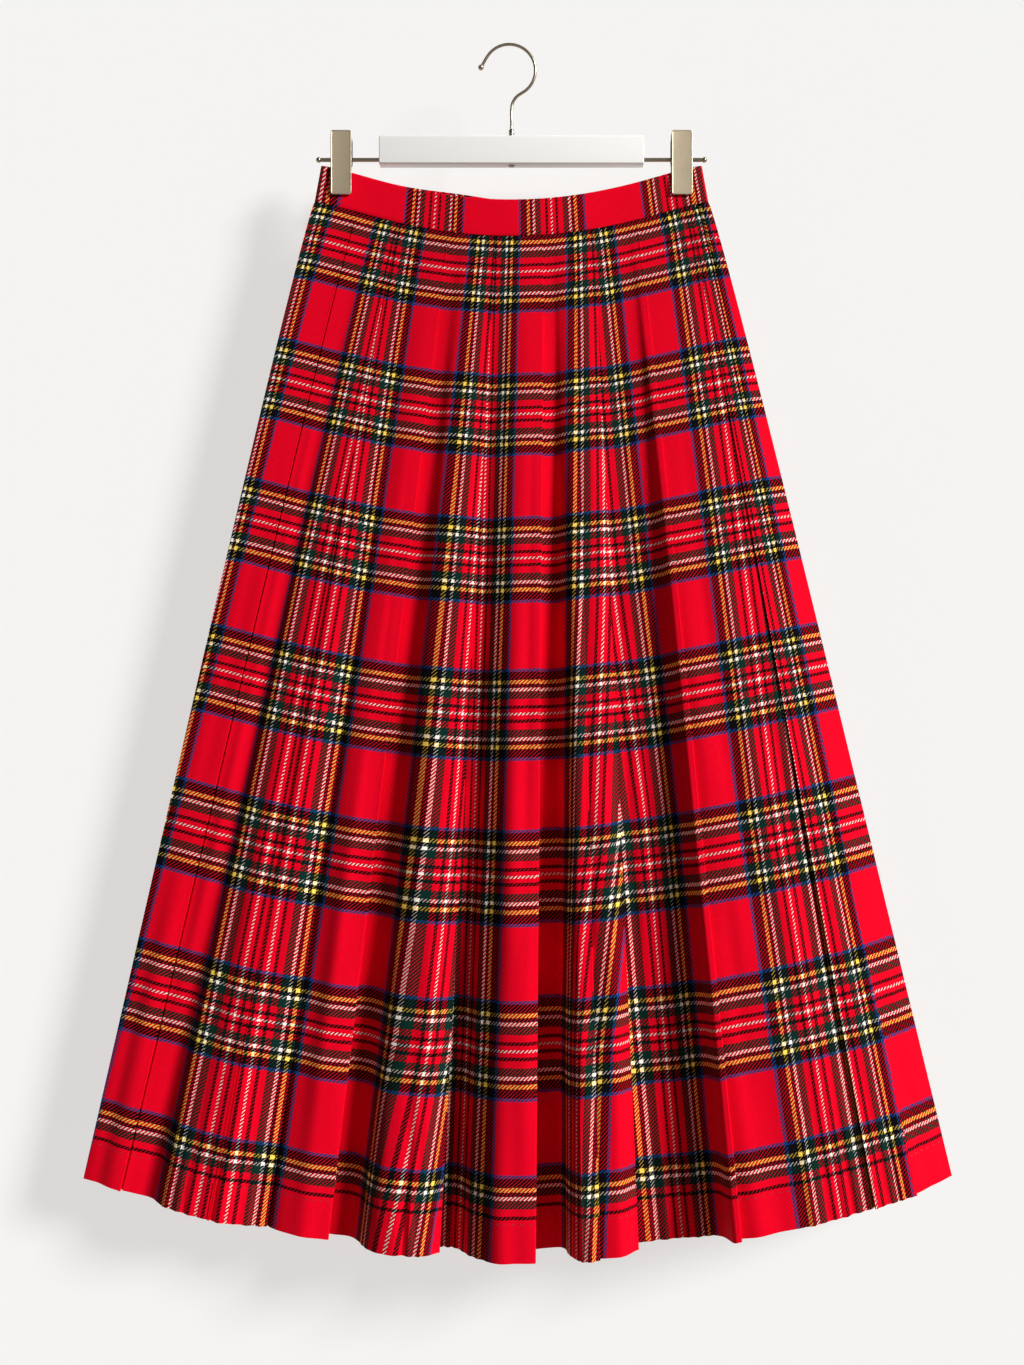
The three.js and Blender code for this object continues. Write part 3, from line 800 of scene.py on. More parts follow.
@dataclass(frozen=True)
class SewingThread(Coloured):
    """Twisted thread."""

    def make(self) -> bpy.types.Material:
        """Builds the material: fine noise breaks up the colour along the twist."""
        r = Recipe(self.name)
        twist = r.noise(1400.0, 2.0)
        values = {
            "Base Color": self.toned(r, 0.75 + twist * 0.5),
            "Roughness": 0.75,
            "Sheen Weight": 0.15,
            "Normal": r.bump(twist, 0.0001, 0.5),
        }
        return r.finished(r.principled(values))


@dataclass(frozen=True)
class StudioWall(Coloured):
    """Matt pale surface that glows by a given strength and only shows from its front."""

    glow: float

    def make(self) -> bpy.types.Material:
        """Builds the material: a transparent shader takes over where the back face shows."""
        r = Recipe(self.name)
        values = {
            "Base Color": self.toned(r, 0.985 + r.noise(3.0, 3.0) * 0.02 + r.noise(160.0, 3.0) * 0.01),
            "Roughness": 0.95,
            "Specular IOR Level": 0.1,
            "Emission Color": (1.0, 0.99, 0.975, 1.0),
            "Emission Strength": self.glow,
        }
        front = r.principled(values)
        clear = r.wire("ShaderNodeBsdfTransparent", {}, {})
        behind = r.wire("ShaderNodeNewGeometry", {}, {}, "Backfacing")
        return r.finished(r.wire("ShaderNodeMixShader", {}, {0: behind, 1: front, 2: clear}))


class Finish(Enum):
    """Every finish in the scene."""

    TARTAN = BrushedTartan("brushed_tartan")
    BAND = BrushedTartan("band_tartan", lighten=1.02)
    LACQUER = Lacquer("white_lacquer", (234, 233, 228))
    NICKEL = SatinMetal("satin_nickel", (168, 154, 134), 0.3)
    PLATE = SatinMetal("champagne_nickel", (220, 202, 172), 0.42, (40.0, 300.0, 300.0))
    RUBBER = Moulded("black_rubber", (20, 20, 21), 0.6)
    RESIN = Moulded("red_resin", (128, 14, 28), 0.32, 0.2, 0.4)
    HEM_THREAD = SewingThread("hem_thread", (46, 22, 44))
    RED_THREAD = SewingThread("red_thread", (170, 10, 30))
    WALL = StudioWall("studio_wall", (136, 136, 135), 0.65)
    FLOOR = StudioWall("studio_floor", (152, 151, 149), 0.0)


def placed(name: str, data: bpy.types.ID) -> bpy.types.Object:
    """A new object in the scene, at the origin, that holds some data."""
    piece = bpy.data.objects.new(name, data)
    bpy.context.scene.collection.objects.link(piece)
    return piece


class Wardrobe:
    """Materials by finish, each made once."""

    def __init__(self) -> None:
        """Starts with no material made."""
        self.made: dict[Finish, bpy.types.Material] = {}

    def material(self, finish: Finish) -> bpy.types.Material:
        """The material of a finish, made when it is first asked for."""
        if finish not in self.made:
            self.made[finish] = finish.value.make()
        return self.made[finish]

    def write(self, name: str, shape: Shape, finish: Finish, sharp: float = 35.0) -> bpy.types.Object:
        """Writes a shape to a new object at the origin, in metres.

        Args:
            name: The object's name.
            shape: Its points in millimetres, its faces and its maps.
            finish: Its material.
            sharp: Edges that turn by more than this many degrees stay sharp.

        Returns:
            The new object.
        """
        sizes = np.concatenate([np.full(len(f), f.shape[1]) for f in shape.faces])
        corners = np.concatenate([f.reshape(-1) for f in shape.faces]).astype(np.int32)
        mesh = bpy.data.meshes.new(name)
        mesh.vertices.add(len(shape.points))
        mesh.vertices.foreach_set("co", (shape.points * MM).astype(np.float32).ravel())
        mesh.loops.add(len(corners))
        mesh.loops.foreach_set("vertex_index", corners)
        mesh.polygons.add(len(sizes))
        mesh.polygons.foreach_set("loop_start", (np.cumsum(sizes) - sizes).astype(np.int32))
        for key, values in shape.maps.items():
            layer = mesh.uv_layers.new(name=key)
            layer.data.foreach_set("uv", values.astype(np.float32).ravel())
        mesh.update(calc_edges=True)
        mesh.validate()
        mesh.shade_smooth()
        mesh.set_sharp_from_angle(angle=math.radians(sharp))
        mesh.materials.append(self.material(finish))
        return placed(name, mesh)

    def dress(
        self, name: str, shape: Shape, finish: Finish, slot: str | None, *nodes: str
    ) -> bpy.types.Object:
        """Writes a piece that rides on the body and stands for CAD nodes, if any are named."""
        piece = self.write(name, shape, finish)
        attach(piece, BODY)
        if nodes:
            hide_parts(*nodes)
        log.info("%s: %d faces", name, len(piece.data.polygons))
        return piece


# The pleated cloth.


@dataclass
class Columns:
    """Lines of cloth from seam to hem, left to right, each value an array with one entry a line."""

    seam_x: np.ndarray
    hem_x: np.ndarray
    forward: np.ndarray
    drop: np.ndarray
    warp_left: np.ndarray
    warp_right: np.ndarray
    group: np.ndarray
    crease: np.ndarray


@dataclass
class PleatedPanel:
    """One cut of the pleated skirt: a wall that steps back at every pressed edge."""

    name: str
    folds: tuple[Fold, ...]
    warp: tuple[WarpLine, ...]
    soft_folds: tuple[SoftFold, ...]
    bow: float
    at_back: bool
    pitch: float = 2.0
    rows: int = 58
    riser: tuple[float, ...] = (0.1, 0.3, 0.55, 0.8)
    roll: float = 1.5
    crease_depth: float = 3.6
    roll_angles: tuple[float, ...] = (0.45, 0.95, 1.4)
    roll_per_step: float = 0.3
    least_roll: float = 0.5
    sunk_by_roll: float = 0.3
    behind_seam: float = 0.2
    deep_crease: tuple[float, float] = (1.0, 0.8)
    faint_crease: tuple[float, float] = (0.5, 0.3)
    lap_crease: tuple[float, float] = (0.25, 0.4)
    hem_half: float = 390.0
    fade: float = 0.12
    slow_drape: float = 0.9
    quick_drape: float = 0.5
    ripple: float = 1.5
    ripples_per_repeat: float = 13.0
    turn_lift: float = 0.35
    longest_mitre: float = 1.7
    thread_shift: float = 1.37
    seed: float = 0.0
    first: float = -WAIST.half_seam
    last: float = WAIST.half_seam

    def repeats_at_folds(self) -> tuple[np.ndarray, np.ndarray]:
        """The tartan's repeats at each fold and station, left and right of the fold.

        Between two warp lines the repeats run evenly across the seam, and across the hem evenly
        by distance, unless a fold says its own. In between the two shares blend with the drop.
        """
        names = [f.name for f in self.folds]
        seam_x = np.array([f.seam_x for f in self.folds])
        hem = np.array([[f.hem_x, f.forward] for f in self.folds])
        stations = np.array(STATIONS)
        left = np.zeros((len(names), len(stations)))
        right = np.zeros((len(names), len(stations)))
        for here, there in zip(self.warp[:-1], self.warp[1:]):
            a, b = names.index(here.fold), names.index(there.fold)
            start, end = np.array(here.right), np.array(there.left)
            seam_share = (seam_x[a : b + 1] - seam_x[a]) / (seam_x[b] - seam_x[a])
            run = np.linalg.norm(np.diff(hem[a : b + 1], axis=0), axis=1)
            hem_share = np.concatenate([[0], np.cumsum(run)]) / run.sum()
            for k, fold in enumerate(self.folds[a : b + 1]):
                if fold.repeat is not None:
                    hem_share[k] = (fold.repeat - start[-1]) / (end[-1] - start[-1])
            share = seam_share[:, None] * (1 - stations) + hem_share[:, None] * stations
            values = start + share * (end - start)
            right[a:b] = values[:-1]
            left[a + 1 : b + 1] = values[1:]
        return left, right

    def columns(self) -> Columns:
        """The panel's lines of cloth: smooth gores between pressed edges, and short risers.

        Within a gore the lines stand closer near its edges: share = s - sin(2 pi s) / (4 pi).
        A pressed edge rolls over by a quarter circle before the riser runs back behind it.
        """
        left, right = self.repeats_at_folds()
        parts: list[dict[str, np.ndarray]] = []
        start, behind = 0, None
        for i in range(1, len(self.folds)):
            edge = self.folds[i]
            if edge.step == 0 and i < len(self.folds) - 1:
                continue
            control = np.array([[f.seam_x, f.hem_x, f.forward] for f in self.folds[start : i + 1]])
            if behind is not None:
                control[0] = behind
            width = np.linalg.norm(np.diff(control[:, 1:], axis=0), axis=1).sum()
            even = np.linspace(0, 1, max(8, round(width / self.pitch)) + 1)
            share = even - 0.5 / TAU * np.sin(TAU * even)
            at = share * (i - start)
            points = centripetal(control, at)
            part = np.minimum(np.floor(at).astype(int), i - start - 1)
            blend = (at - part)[:, None]
            warp = right[start + part] * (1 - blend) + left[start + part + 1] * blend
            drop = np.zeros_like(share) if behind is None else 1 - share
            crease = np.zeros_like(share)
            if behind is not None and self.folds[start].step > 0:
                deep = self.folds[start].step > 1
                crease[:2] = self.deep_crease if deep else self.faint_crease
            if edge.step < 0:
                crease[-2:] = self.lap_crease
            parts.append({"points": points, "drop": drop, "warp": warp, "crease": crease})
            under = edge.hem_x - CLOTH.underlap_per_step * abs(edge.step)
            behind = np.array([edge.seam_x + self.behind_seam, under, edge.forward - edge.step])
            start = i
            if i < len(self.folds) - 1:
                rise, share = self._riser(points[-1], behind, edge.step)
                still = np.repeat(warp[-1:], len(rise), axis=0)
                smooth = np.zeros(len(rise))
                parts.append({"points": rise, "drop": share, "warp": still, "crease": smooth})
        return self._gathered(parts)

    def _riser(
        self, edge: np.ndarray, behind: np.ndarray, step: float
    ) -> tuple[np.ndarray, np.ndarray]:
        """Lines from a pressed edge to the gore behind it, and how far each has dropped.

        The roll's line at angle a stands radius times sin a beside the edge and radius times
        (1 - cos a) behind it, at the hem; at the seam it is half as wide.
        """
        along = np.array(self.riser)
        radius = min(self.roll, max(step, 0.0) * self.roll_per_step)
        if radius < self.least_roll:
            return edge + along[:, None] * (behind - edge), along
        a = np.array(self.roll_angles)
        aside = radius * np.sin(a)
        rolled = edge + np.stack([aside / 2, aside, -radius * (1 - np.cos(a))], -1)
        sunk = self.sunk_by_roll * (1 - np.cos(a))
        rise = rolled[-1] + along[:, None] * (behind - rolled[-1])
        share = sunk[-1] + along * (1 - sunk[-1])
        return np.concatenate([rolled, rise]), np.concatenate([sunk, share])

    def _gathered(self, parts: list[dict[str, np.ndarray]]) -> Columns:
        """Joins gores and risers, and keeps what lies between first and last at the seam."""
        keys = ("points", "drop", "crease", "warp")
        points, drop, crease, warp_left = (np.concatenate([p[key] for p in parts]) for key in keys)
        warp_right = warp_left.copy()
        counts = [len(p["points"]) for p in parts]
        group = np.repeat(np.arange(len(parts)), counts)
        ends = np.cumsum(counts)
        for k in range(1, len(parts) - 1, 2):
            first_after = ends[k]
            warp_left[first_after] = warp_left[first_after - 1]
            group[ends[k - 1] - 1] = k
        keep = (points[:, 0] >= self.first - 1e-6) & (points[:, 0] <= self.last + 1e-6)
        points, drop, group = points[keep].copy(), drop[keep], group[keep]
        if self.first > -WAIST.half_seam:
            points[0, :2] += CLOTH.seam_gap / 2
        if self.last < WAIST.half_seam:
            points[-1, :2] -= CLOTH.seam_gap / 2
        return Columns(
            points[:, 0], points[:, 1], points[:, 2], drop, warp_left[keep], warp_right[keep],
            group, crease[keep],
        )

    def heights(self) -> np.ndarray:
        """Shares of the cloth's length for the rows, closer at the seam and at the hem."""
        turn = CLOTH.turn
        body = np.linspace(0.008, turn - 0.006, self.rows)
        ends = [turn - 0.001, turn + 0.001, turn + 0.01, turn + 0.02, turn + 0.03, 0.9985, 1.0]
        return np.concatenate([[0.0, 0.003], body, ends])

    def outer_face(self, c: Columns, t: np.ndarray) -> np.ndarray:
        """Outer points, rows by lines by (x, forward, z).

        Each line is straight from seam to hem and as long as the cloth, with a slight bulge over
        the hips; soft folds and the hem's ripples are added to its forward distance, and a
        narrow crease runs down beside each pressed edge.
        """
        t = t[:, None]
        seam_f = WAIST.seam_forward(c.seam_x, self.bow, c.drop)
        fall = np.sqrt(CLOTH.length**2 - (c.hem_x - c.seam_x) ** 2 - (c.forward - seam_f) ** 2)
        x = c.seam_x + (c.hem_x - c.seam_x) * t + hip_bulge(c.seam_x, t)
        forward = seam_f + (c.forward - seam_f) * t
        z = WAIST.seam_height(c.seam_x) - CLOTH.seam_gap / 2 - fall * t
        forward = forward + self.soft_relief(x, t, c)
        forward = forward - self.crease_depth * c.crease * smooth_step(t, 0.0, 0.05)
        return np.stack([x, forward, z], -1)

    def soft_relief(self, x: np.ndarray, t: np.ndarray, c: Columns) -> np.ndarray:
        """Millimetres that soft folds, drape and the hem add to the forward distance.

        Soft folds are depth times exp(-(distance / width) squared), faded at both ends. Drape is
        a sum of slow waves in x over the panel's width. Ripples are waves in the tartan's
        repeats, which the close-woven stripes of a band pucker into above the hem.
        """
        q = x / (WAIST.half_seam + (self.hem_half - WAIST.half_seam) * t)
        inside = smooth_step(1 - np.abs(q), 0.0, 0.06)
        relief = np.zeros_like(x)
        for s in self.soft_folds:
            middle = s.seam_x + (s.hem_x - s.seam_x) * t + hip_bulge(s.seam_x, t)
            fade = smooth_step(t, s.start - self.fade, s.start + self.fade)
            if s.end < 1:
                fade = fade * (1 - smooth_step(t, s.end - self.fade, s.end + self.fade))
            width = s.width * (0.45 + 0.55 * t)
            relief += s.depth * fade * np.exp(-(((x - middle) / width) ** 2))
        low = smooth_step(t, 0.12, 0.8)
        slow = 8.3 * q + 0.35 * np.sin(4.1 * t + self.seed)
        relief += self.slow_drape * low * np.sin(TAU * slow + self.seed)
        quick = 15.7 * q - 0.4 * np.sin(5.3 * t)
        relief += self.quick_drape * low * np.sin(TAU * quick + 2.1 + self.seed)
        hem_warp = c.warp_left[:, -1]
        in_band = smooth_step(np.abs(np.mod(hem_warp, 1) - 0.5), 0.3, 0.2)
        near_hem = smooth_step(t, 0.78, 1.0)
        uneven = 0.7 + 0.3 * np.sin(TAU * 3.3 * hem_warp + self.seed)
        waves = np.cos(TAU * self.ripples_per_repeat * hem_warp)
        relief += self.ripple * near_hem * in_band * uneven * waves
        relief += self.turn_lift * smooth_step(t, CLOTH.turn - 0.006, CLOTH.turn + 0.004)
        return relief * inside

    def inner_face(self, outer: np.ndarray, t: np.ndarray) -> np.ndarray:
        """Inner points: each row moved back by the wall, square to the row as seen from above."""
        wall = np.where(t > CLOTH.turn, CLOTH.hem_wall, CLOTH.wall)[:, None]
        step = np.diff(outer[..., :2], axis=1)
        step = step / np.maximum(np.linalg.norm(step, axis=-1, keepdims=True), 1e-9)
        before = np.concatenate([step[:, :1], step], axis=1)
        after = np.concatenate([step, step[:, -1:]], axis=1)
        normal = np.stack([before[..., 1] + after[..., 1], -before[..., 0] - after[..., 0]], -1)
        normal /= np.maximum(np.linalg.norm(normal, axis=-1, keepdims=True), 1e-9)
        lean = normal[..., 0] * before[..., 1] - normal[..., 1] * before[..., 0]
        lean = np.maximum(lean, 1 / self.longest_mitre)
        x = outer[..., 0] + normal[..., 0] * wall / lean
        forward = np.maximum(outer[..., 1] + normal[..., 1] * wall / lean, CLOTH.seam_gap / 2)
        return np.stack([x, forward, outer[..., 2]], -1)

    def maps(self, c: Columns, t: np.ndarray, outer: np.ndarray) -> dict[str, np.ndarray]:
        """Corner values of both maps for the strips between lines and rows.

        "tartan" is in repeats: across from the warp lines, down from the sett's table, and plain
        ground below the line where the hem is turned up. "thread" is in millimetres: across from
        the left edge of each gore, down from the seam.
        """
        weights = np.stack([np.interp(t, STATIONS, row) for row in np.eye(len(STATIONS))], -1)
        across_from = weights @ c.warp_right.T
        across_to = weights @ c.warp_left.T
        down = np.interp(t, SETT.down, SETT.repeats_down)
        top = np.where(t[:-1] < CLOTH.turn - 0.0015, down[:-1], SETT.plain)
        bottom = np.where(t[1:] < CLOTH.turn, down[1:], SETT.plain)
        run = np.linalg.norm(np.diff(outer, axis=1), axis=-1)
        total = np.concatenate([np.zeros((len(t), 1)), np.cumsum(run, axis=1)], axis=1)
        group = c.group[:-1]
        first = np.searchsorted(group, group)
        base = total[:, first] - self.thread_shift * group
        thread_from, thread_to = total[:, :-1] - base, total[:, 1:] - base
        fall = CLOTH.length * t
        return {
            "tartan": corner_values(across_from[:, :-1], across_to[:, 1:], top, bottom),
            "thread": corner_values(thread_from, thread_to, fall[:-1], fall[1:]),
        }

    def shape(self) -> tuple[Shape, float, float]:
        """The closed wall, and the runs of its seam and of its hem in millimetres."""
        c = self.columns()
        t = self.heights()
        outer = self.outer_face(c, t)
        wall = closed_wall(outer, self.inner_face(outer, t), self.maps(c, t, outer))
        runs = np.linalg.norm(np.diff(outer[[0, -1]], axis=1), axis=-1).sum(axis=1)
        if self.at_back:
            wall.turned_round()
        return wall, float(runs[0]), float(runs[1])

    def line_at(self, share: float) -> np.ndarray:
        """Points of the outer face along one height, as (x, y, z)."""
        c = self.columns()
        points = self.outer_face(c, np.array([share, share + 1e-4]))[0]
        points = np.stack([points[:, 0], -points[:, 1], points[:, 2]], -1)
        return points * np.array([-1.0, -1.0, 1.0]) if self.at_back else points


def corner_values(
    left: np.ndarray, right: np.ndarray, top: np.ndarray, bottom: np.ndarray
) -> np.ndarray:
    """Map values at the corners of every strip, in the order of closed_wall's outer faces.

    Args:
        left: Across-values at each strip's left line, rows by strips.
        right: Across-values at its right line.
        top: Down-values at the upper row of each strip of rows.
        bottom: Down-values at the lower row.

    Returns:
        Array of strips by four corners by two.
    """
    rows, strips = left.shape[0] - 1, left.shape[1]
    down_top = np.broadcast_to(top[:, None], (rows, strips))
    down_low = np.broadcast_to(bottom[:, None], (rows, strips))
    corners = [
        np.stack([left[:-1], down_top], -1),
        np.stack([left[1:], down_low], -1),
        np.stack([right[1:], down_low], -1),
        np.stack([right[:-1], down_top], -1),
    ]
    return np.stack(corners, axis=2)


def band_maps(
    across: np.ndarray, threads: np.ndarray, v: np.ndarray, height: float
) -> dict[str, np.ndarray]:
    """Both maps of a strip of cloth that shows its warp's stripes only.

    Args:
        across: The tartan's repeats, rows by lines.
        threads: Millimetres across, rows by lines.
        v: Shares of the height, 1 at the top, one a row.
        height: The strip's height in millimetres.

    Returns:
        The maps "tartan" and "thread", as closed_wall takes them.
    """
    level = (1 - v[:, 0]) * height
    ground = np.zeros(len(v) - 1)
    return {
        "tartan": corner_values(across[:, :-1], across[:, 1:], ground, ground),
        "thread": corner_values(threads[:, :-1], threads[:, 1:], level[:-1], level[1:]),
    }


def closed_wall(outer: np.ndarray, inner: np.ndarray, maps: dict[str, np.ndarray]) -> Shape:
    """A closed wall between two grids of (x, forward, z) points, rows down and lines across.

    Args:
        outer: Points of the face that shows.
        inner: Points behind it.
        maps: Corner values of the outer faces; the inner faces and the rim take the same ones.

    Returns:
        The wall facing -Y, made of quads only.
    """
    rows, lines = outer.shape[:2]
    both = np.concatenate([outer.reshape(-1, 3), inner.reshape(-1, 3)])
    points = np.stack([both[:, 0], -both[:, 1], both[:, 2]], -1)
    index = np.arange(rows * lines).reshape(rows, lines)
    a, b, c, d = index[:-1, :-1], index[:-1, 1:], index[1:, :-1], index[1:, 1:]
    front = np.stack([a, c, d, b], -1)
    back = np.stack([a, b, d, c], -1) + rows * lines
    rim = np.concatenate([index[:-1, 0], index[-1, :-1], index[:0:-1, -1], index[0, :0:-1]])
    following = np.roll(rim, -1)
    edge = np.stack([following, rim, rim + rows * lines, following + rows * lines], -1)
    faces = np.concatenate([front.reshape(-1, 4), back.reshape(-1, 4), edge])
    shape = Shape(points, [faces])
    for key, values in maps.items():
        grid = values.reshape(-1, 4, 2)
        at_points = np.zeros((rows * lines, 2))
        at_points[front.reshape(-1)] = grid.reshape(-1, 2)
        around = at_points[edge % (rows * lines)]
        shape.maps[key] = np.concatenate([grid, grid[:, [0, 3, 2, 1]], around])
    return shape


@dataclass
class PleatedSkirt:
    """The pleated widths below the waistband: front, and two halves of the back."""

    stitch_every: float = 7.0
    stitch_length: float = 2.6
    stitch_radius: float = 0.32

    def panels(self) -> dict[str, tuple[PleatedPanel, str]]:
        """Every cut by its piece's name, with the CAD node that it stands for."""
        front = PleatedPanel(
            "front", FRONT_FOLDS, FRONT_WARP, FRONT_SOFT_FOLDS, WAIST.front_bow, False
        )
        back = {
            "folds": BACK_FOLDS,
            "warp": BACK_WARP,
            "soft_folds": BACK_SOFT_FOLDS,
            "bow": WAIST.back_bow,
            "at_back": True,
            "seed": 1.7,
        }
        return {
            "pleated_front": (front, "skirt_front"),
            "pleated_back_right": (PleatedPanel("back_right", **back, last=0.0), "skirt_back_right"),
            "pleated_back_left": (PleatedPanel("back_left", **back, first=0.0), "skirt_back_left"),
        }

    def hem_stitches(self, line: np.ndarray) -> Shape:
        """Short stitches along a line: each is a bead drawn out along it, every few millimetres."""
        run = np.concatenate([[0], np.cumsum(np.linalg.norm(np.diff(line, axis=0), axis=1))])
        middle = np.arange(3.0, run[-1] - 3.0, self.stitch_every)
        middle = middle + 0.9 * np.sin(middle * 1.7)
        along = np.linspace(-1, 1, 7)
        at = middle[:, None] + along[None] * self.stitch_length / 2
        centre = np.stack([np.interp(at, run, line[:, k]) for k in range(3)], -1)
        radius = self.stitch_radius * np.sqrt(np.maximum(1 - along**2, 0.04))
        angle = np.linspace(0, TAU, 6, endpoint=False)
        ring = np.stack([np.zeros(6), np.cos(angle), np.sin(angle)], -1)
        rings = centre[:, :, None] + radius[None, :, None, None] * ring[None, None]
        return joined([stacked_rings(r) for r in rings])

    def build(self, wardrobe: Wardrobe) -> None:
        for name, (panel, node) in self.panels().items():
            shape, seam_run, hem_run = panel.shape()
            piece = wardrobe.dress(name, shape, Finish.TARTAN, "tartan_cloth", node)
            line = panel.line_at(CLOTH.turn + 0.001)
            stitches = wardrobe.dress(
                "hem_stitches_" + panel.name, self.hem_stitches(line), Finish.HEM_THREAD, None
            )
            cut = (hem_run * MM, (CLOTH.length + CLOTH.hem_turn_up) * MM)
            area = (seam_run + hem_run) / 2 * MM * cut[1]
            log.info("%s: cut %.3f by %.3f m, area %.3f m2", name, *cut, area)


# The waistband.


@dataclass(frozen=True)
class BandStripes:
    """Where the sett's repeats lie along a waistband: seam places in millimetres and repeats."""

    places: tuple[float, ...]
    repeats: tuple[float, ...]

    def at(self, x: np.ndarray) -> np.ndarray:
        """Repeats at places along the seam, straight between the table's rows."""
        return np.interp(x, self.places, self.repeats)


FRONT_STRIPES = BandStripes(
    (-177, -164, -143, -98.5, -69.8, -41.8, 5.4, 36.5, 68.9, 117.5, 131.8, 164.8, 169.2, 178),
    (-0.38, -0.28, -0.13, 0.2, 0.5, 0.8, 1.2, 1.5, 1.8, 2.2, 2.35, 2.715, 2.66, 2.57),
)
BACK_STRIPES = BandStripes((-178, 178), (-1.51, 1.76))


@dataclass
class Waistband:
    """Front and back bands of doubled cloth, and the lapped tab with its button."""

    lines: int = 200
    tab_from: float = -34.0
    tab_to: float = 26.0
    tab_wall: float = 1.8
    tab_height: float = 27.0
    tab_point: float = 9.0
    button_x: float = 8.0
    button_radius: float = 8.0
    button_thickness: float = 2.6
    button_rim: float = 0.9
    hole_place: float = 1.5
    strand_gap: float = 0.28

    def point(self, seam_x: np.ndarray, v: np.ndarray, bow: float, lift: float) -> np.ndarray:
        """Outer face: x from seam to top edge, forward with the mouth's bow, height from the seam."""
        bump = np.exp(-(((seam_x + WAIST.back_lift_x) / WAIST.back_lift_reach) ** 2))
        x = seam_x * (1 + (WAIST.half_top / WAIST.half_seam - 1) * v)
        forward = CLOTH.seam_gap / 2 + WAIST.wall + bow * WAIST.mouth(seam_x)
        tall = WAIST.height + lift * bump
        z = WAIST.seam_height(seam_x) + CLOTH.seam_gap / 2 + v * tall
        return np.stack(np.broadcast_arrays(x, forward, z), -1)

    def band(self, bow: float, lift: float, stripes: BandStripes, mirrored: bool) -> Shape:
        """One band: rows down from its folded top edge, thinner where the fold rounds over.

        The wall's share at the top edge follows a quarter round, and the face waves slightly.
        """
        v = np.array([1.0, 0.995, 0.985, 0.965, 0.93, 0.85, 0.7, 0.5, 0.3, 0.12, 0.03, 0.0])[:, None]
        share = np.array([0.45, 0.72, 0.9, 0.99, 1, 1, 1, 1, 1, 1, 0.97, 0.84])[:, None]
        s = np.linspace(-1, 1, self.lines + 1)[None]
        seam_x = WAIST.half_seam * s
        outer = self.point(seam_x, v, bow, lift)
        inner = outer.copy()
        inner[..., 1] -= WAIST.wall
        ends = 0.55 + 0.45 * smooth_step(1 - np.abs(s), 0.0, 0.012)
        wave = 0.18 * np.sin(seam_x / 9.1 + 2.2 * v) * np.sin(math.pi * v)
        wave = wave + 0.22 * np.sin(seam_x / 23.0 + 1.0) * (1 - v)
        inside = smooth_step(1 - np.abs(s), 0.02, 0.25)
        outer[..., 1] = inner[..., 1] + WAIST.wall * share * ends + wave * inside * (share > 0.95)
        place = -seam_x if mirrored else seam_x
        across = np.broadcast_to(stripes.at(place), outer.shape[:2])
        threads = np.broadcast_to(seam_x, outer.shape[:2]) * (1 - 0.03 * v)
        return closed_wall(outer, inner, band_maps(across, threads, v, WAIST.height))

    def tab(self) -> Shape:
        """The lapped end: the back band's face moved out, with a point that rounds to its tip."""
        v = np.array([1.0, 0.985, 0.95, 0.85, 0.7, 0.5, 0.3, 0.15, 0.05, 0.015, 0.0])[:, None]
        s = np.linspace(0, 1, 61)[None]
        tip = self.tab_point * (1 - np.abs(2 * v - 1) ** 2.2)
        x = self.tab_from + (self.tab_to + tip - self.tab_from) * s
        along = ((WAIST.height - self.tab_height) / 2 + v * self.tab_height) / WAIST.height
        face = self.point(x, along, WAIST.back_bow, 0.0)
        inner, outer = face.copy(), face.copy()
        inner[..., 1] += CLOTH.seam_gap
        rim = np.minimum(smooth_step(1 - np.abs(2 * v - 1), 0, 0.07), smooth_step(1 - s, 0, 0.04))
        outer[..., 1] = inner[..., 1] + self.tab_wall * (0.5 + 0.5 * rim)
        across = BACK_STRIPES.at(-x) + 0.5
        maps = band_maps(across, x, v, self.tab_height)
        return closed_wall(outer, inner, maps).turned_round()

    def button_seat(self) -> np.ndarray:
        """Middle of the button's underside in the back's own directions."""
        at = self.point(np.array(self.button_x), np.array(0.5), WAIST.back_bow, 0.0)
        return at + np.array([0.0, 2 * CLOTH.seam_gap + self.tab_wall, 0.0])

    def button(self) -> Shape:
        """A shallow dish with a rolled rim, turned about the way that the back faces."""
        r, h = self.button_radius, self.button_thickness
        rim, angles = self.button_rim, np.linspace(0, 2.6, 9)
        roll = [(r - rim + rim * math.cos(a), h - rim + rim * math.sin(a)) for a in angles]
        dish = [(r - 2.4, h - 0.75), (r - 4.0, h - 0.9), (0.05, h - 0.95)]
        shape = turned([(0.05, 0.0), (r - 1.2, 0.0), (r - 0.35, 0.35), *roll, *dish])
        return self.on_button(shape)

    def button_hole_shade(self) -> Shape:
        """Four short dark plugs: painted shade that stands for the holes."""
        top = self.button_thickness - 0.94
        plug = [(0.05, top - 0.4), (0.75, top - 0.4), (0.75, top + 0.03), (0.05, top + 0.03)]
        sides = (-self.hole_place, self.hole_place)
        return joined([self.on_button(turned(plug, 16).moved(x, y)) for x in sides for y in sides])

    def button_thread(self) -> Shape:
        """Two bars of thread over the holes: each an arch of thin tubes from hole to hole."""
        a = np.linspace(0, math.pi, 12)
        height = self.button_thickness - 1.0 + 0.55 * np.sin(a)
        path = np.stack([-self.hole_place * np.cos(a), 0 * a, height], -1)
        bars = []
        for side in (-self.hole_place, self.hole_place):
            for off in (-self.strand_gap, 0.0, self.strand_gap):
                bars.append(self.on_button(tube(path, 0.2, 8).moved(0, side + off, 0)))
        return joined(bars)

    def on_button(self, shape: Shape) -> Shape:
        """Takes a shape whose axis is +Z to the button's seat, facing out of the back."""
        x, y, z = shape.points.T
        seat = self.button_seat()
        shape.points = np.stack([-(x + seat[0]), z + seat[1], y + seat[2]], -1)
        return shape

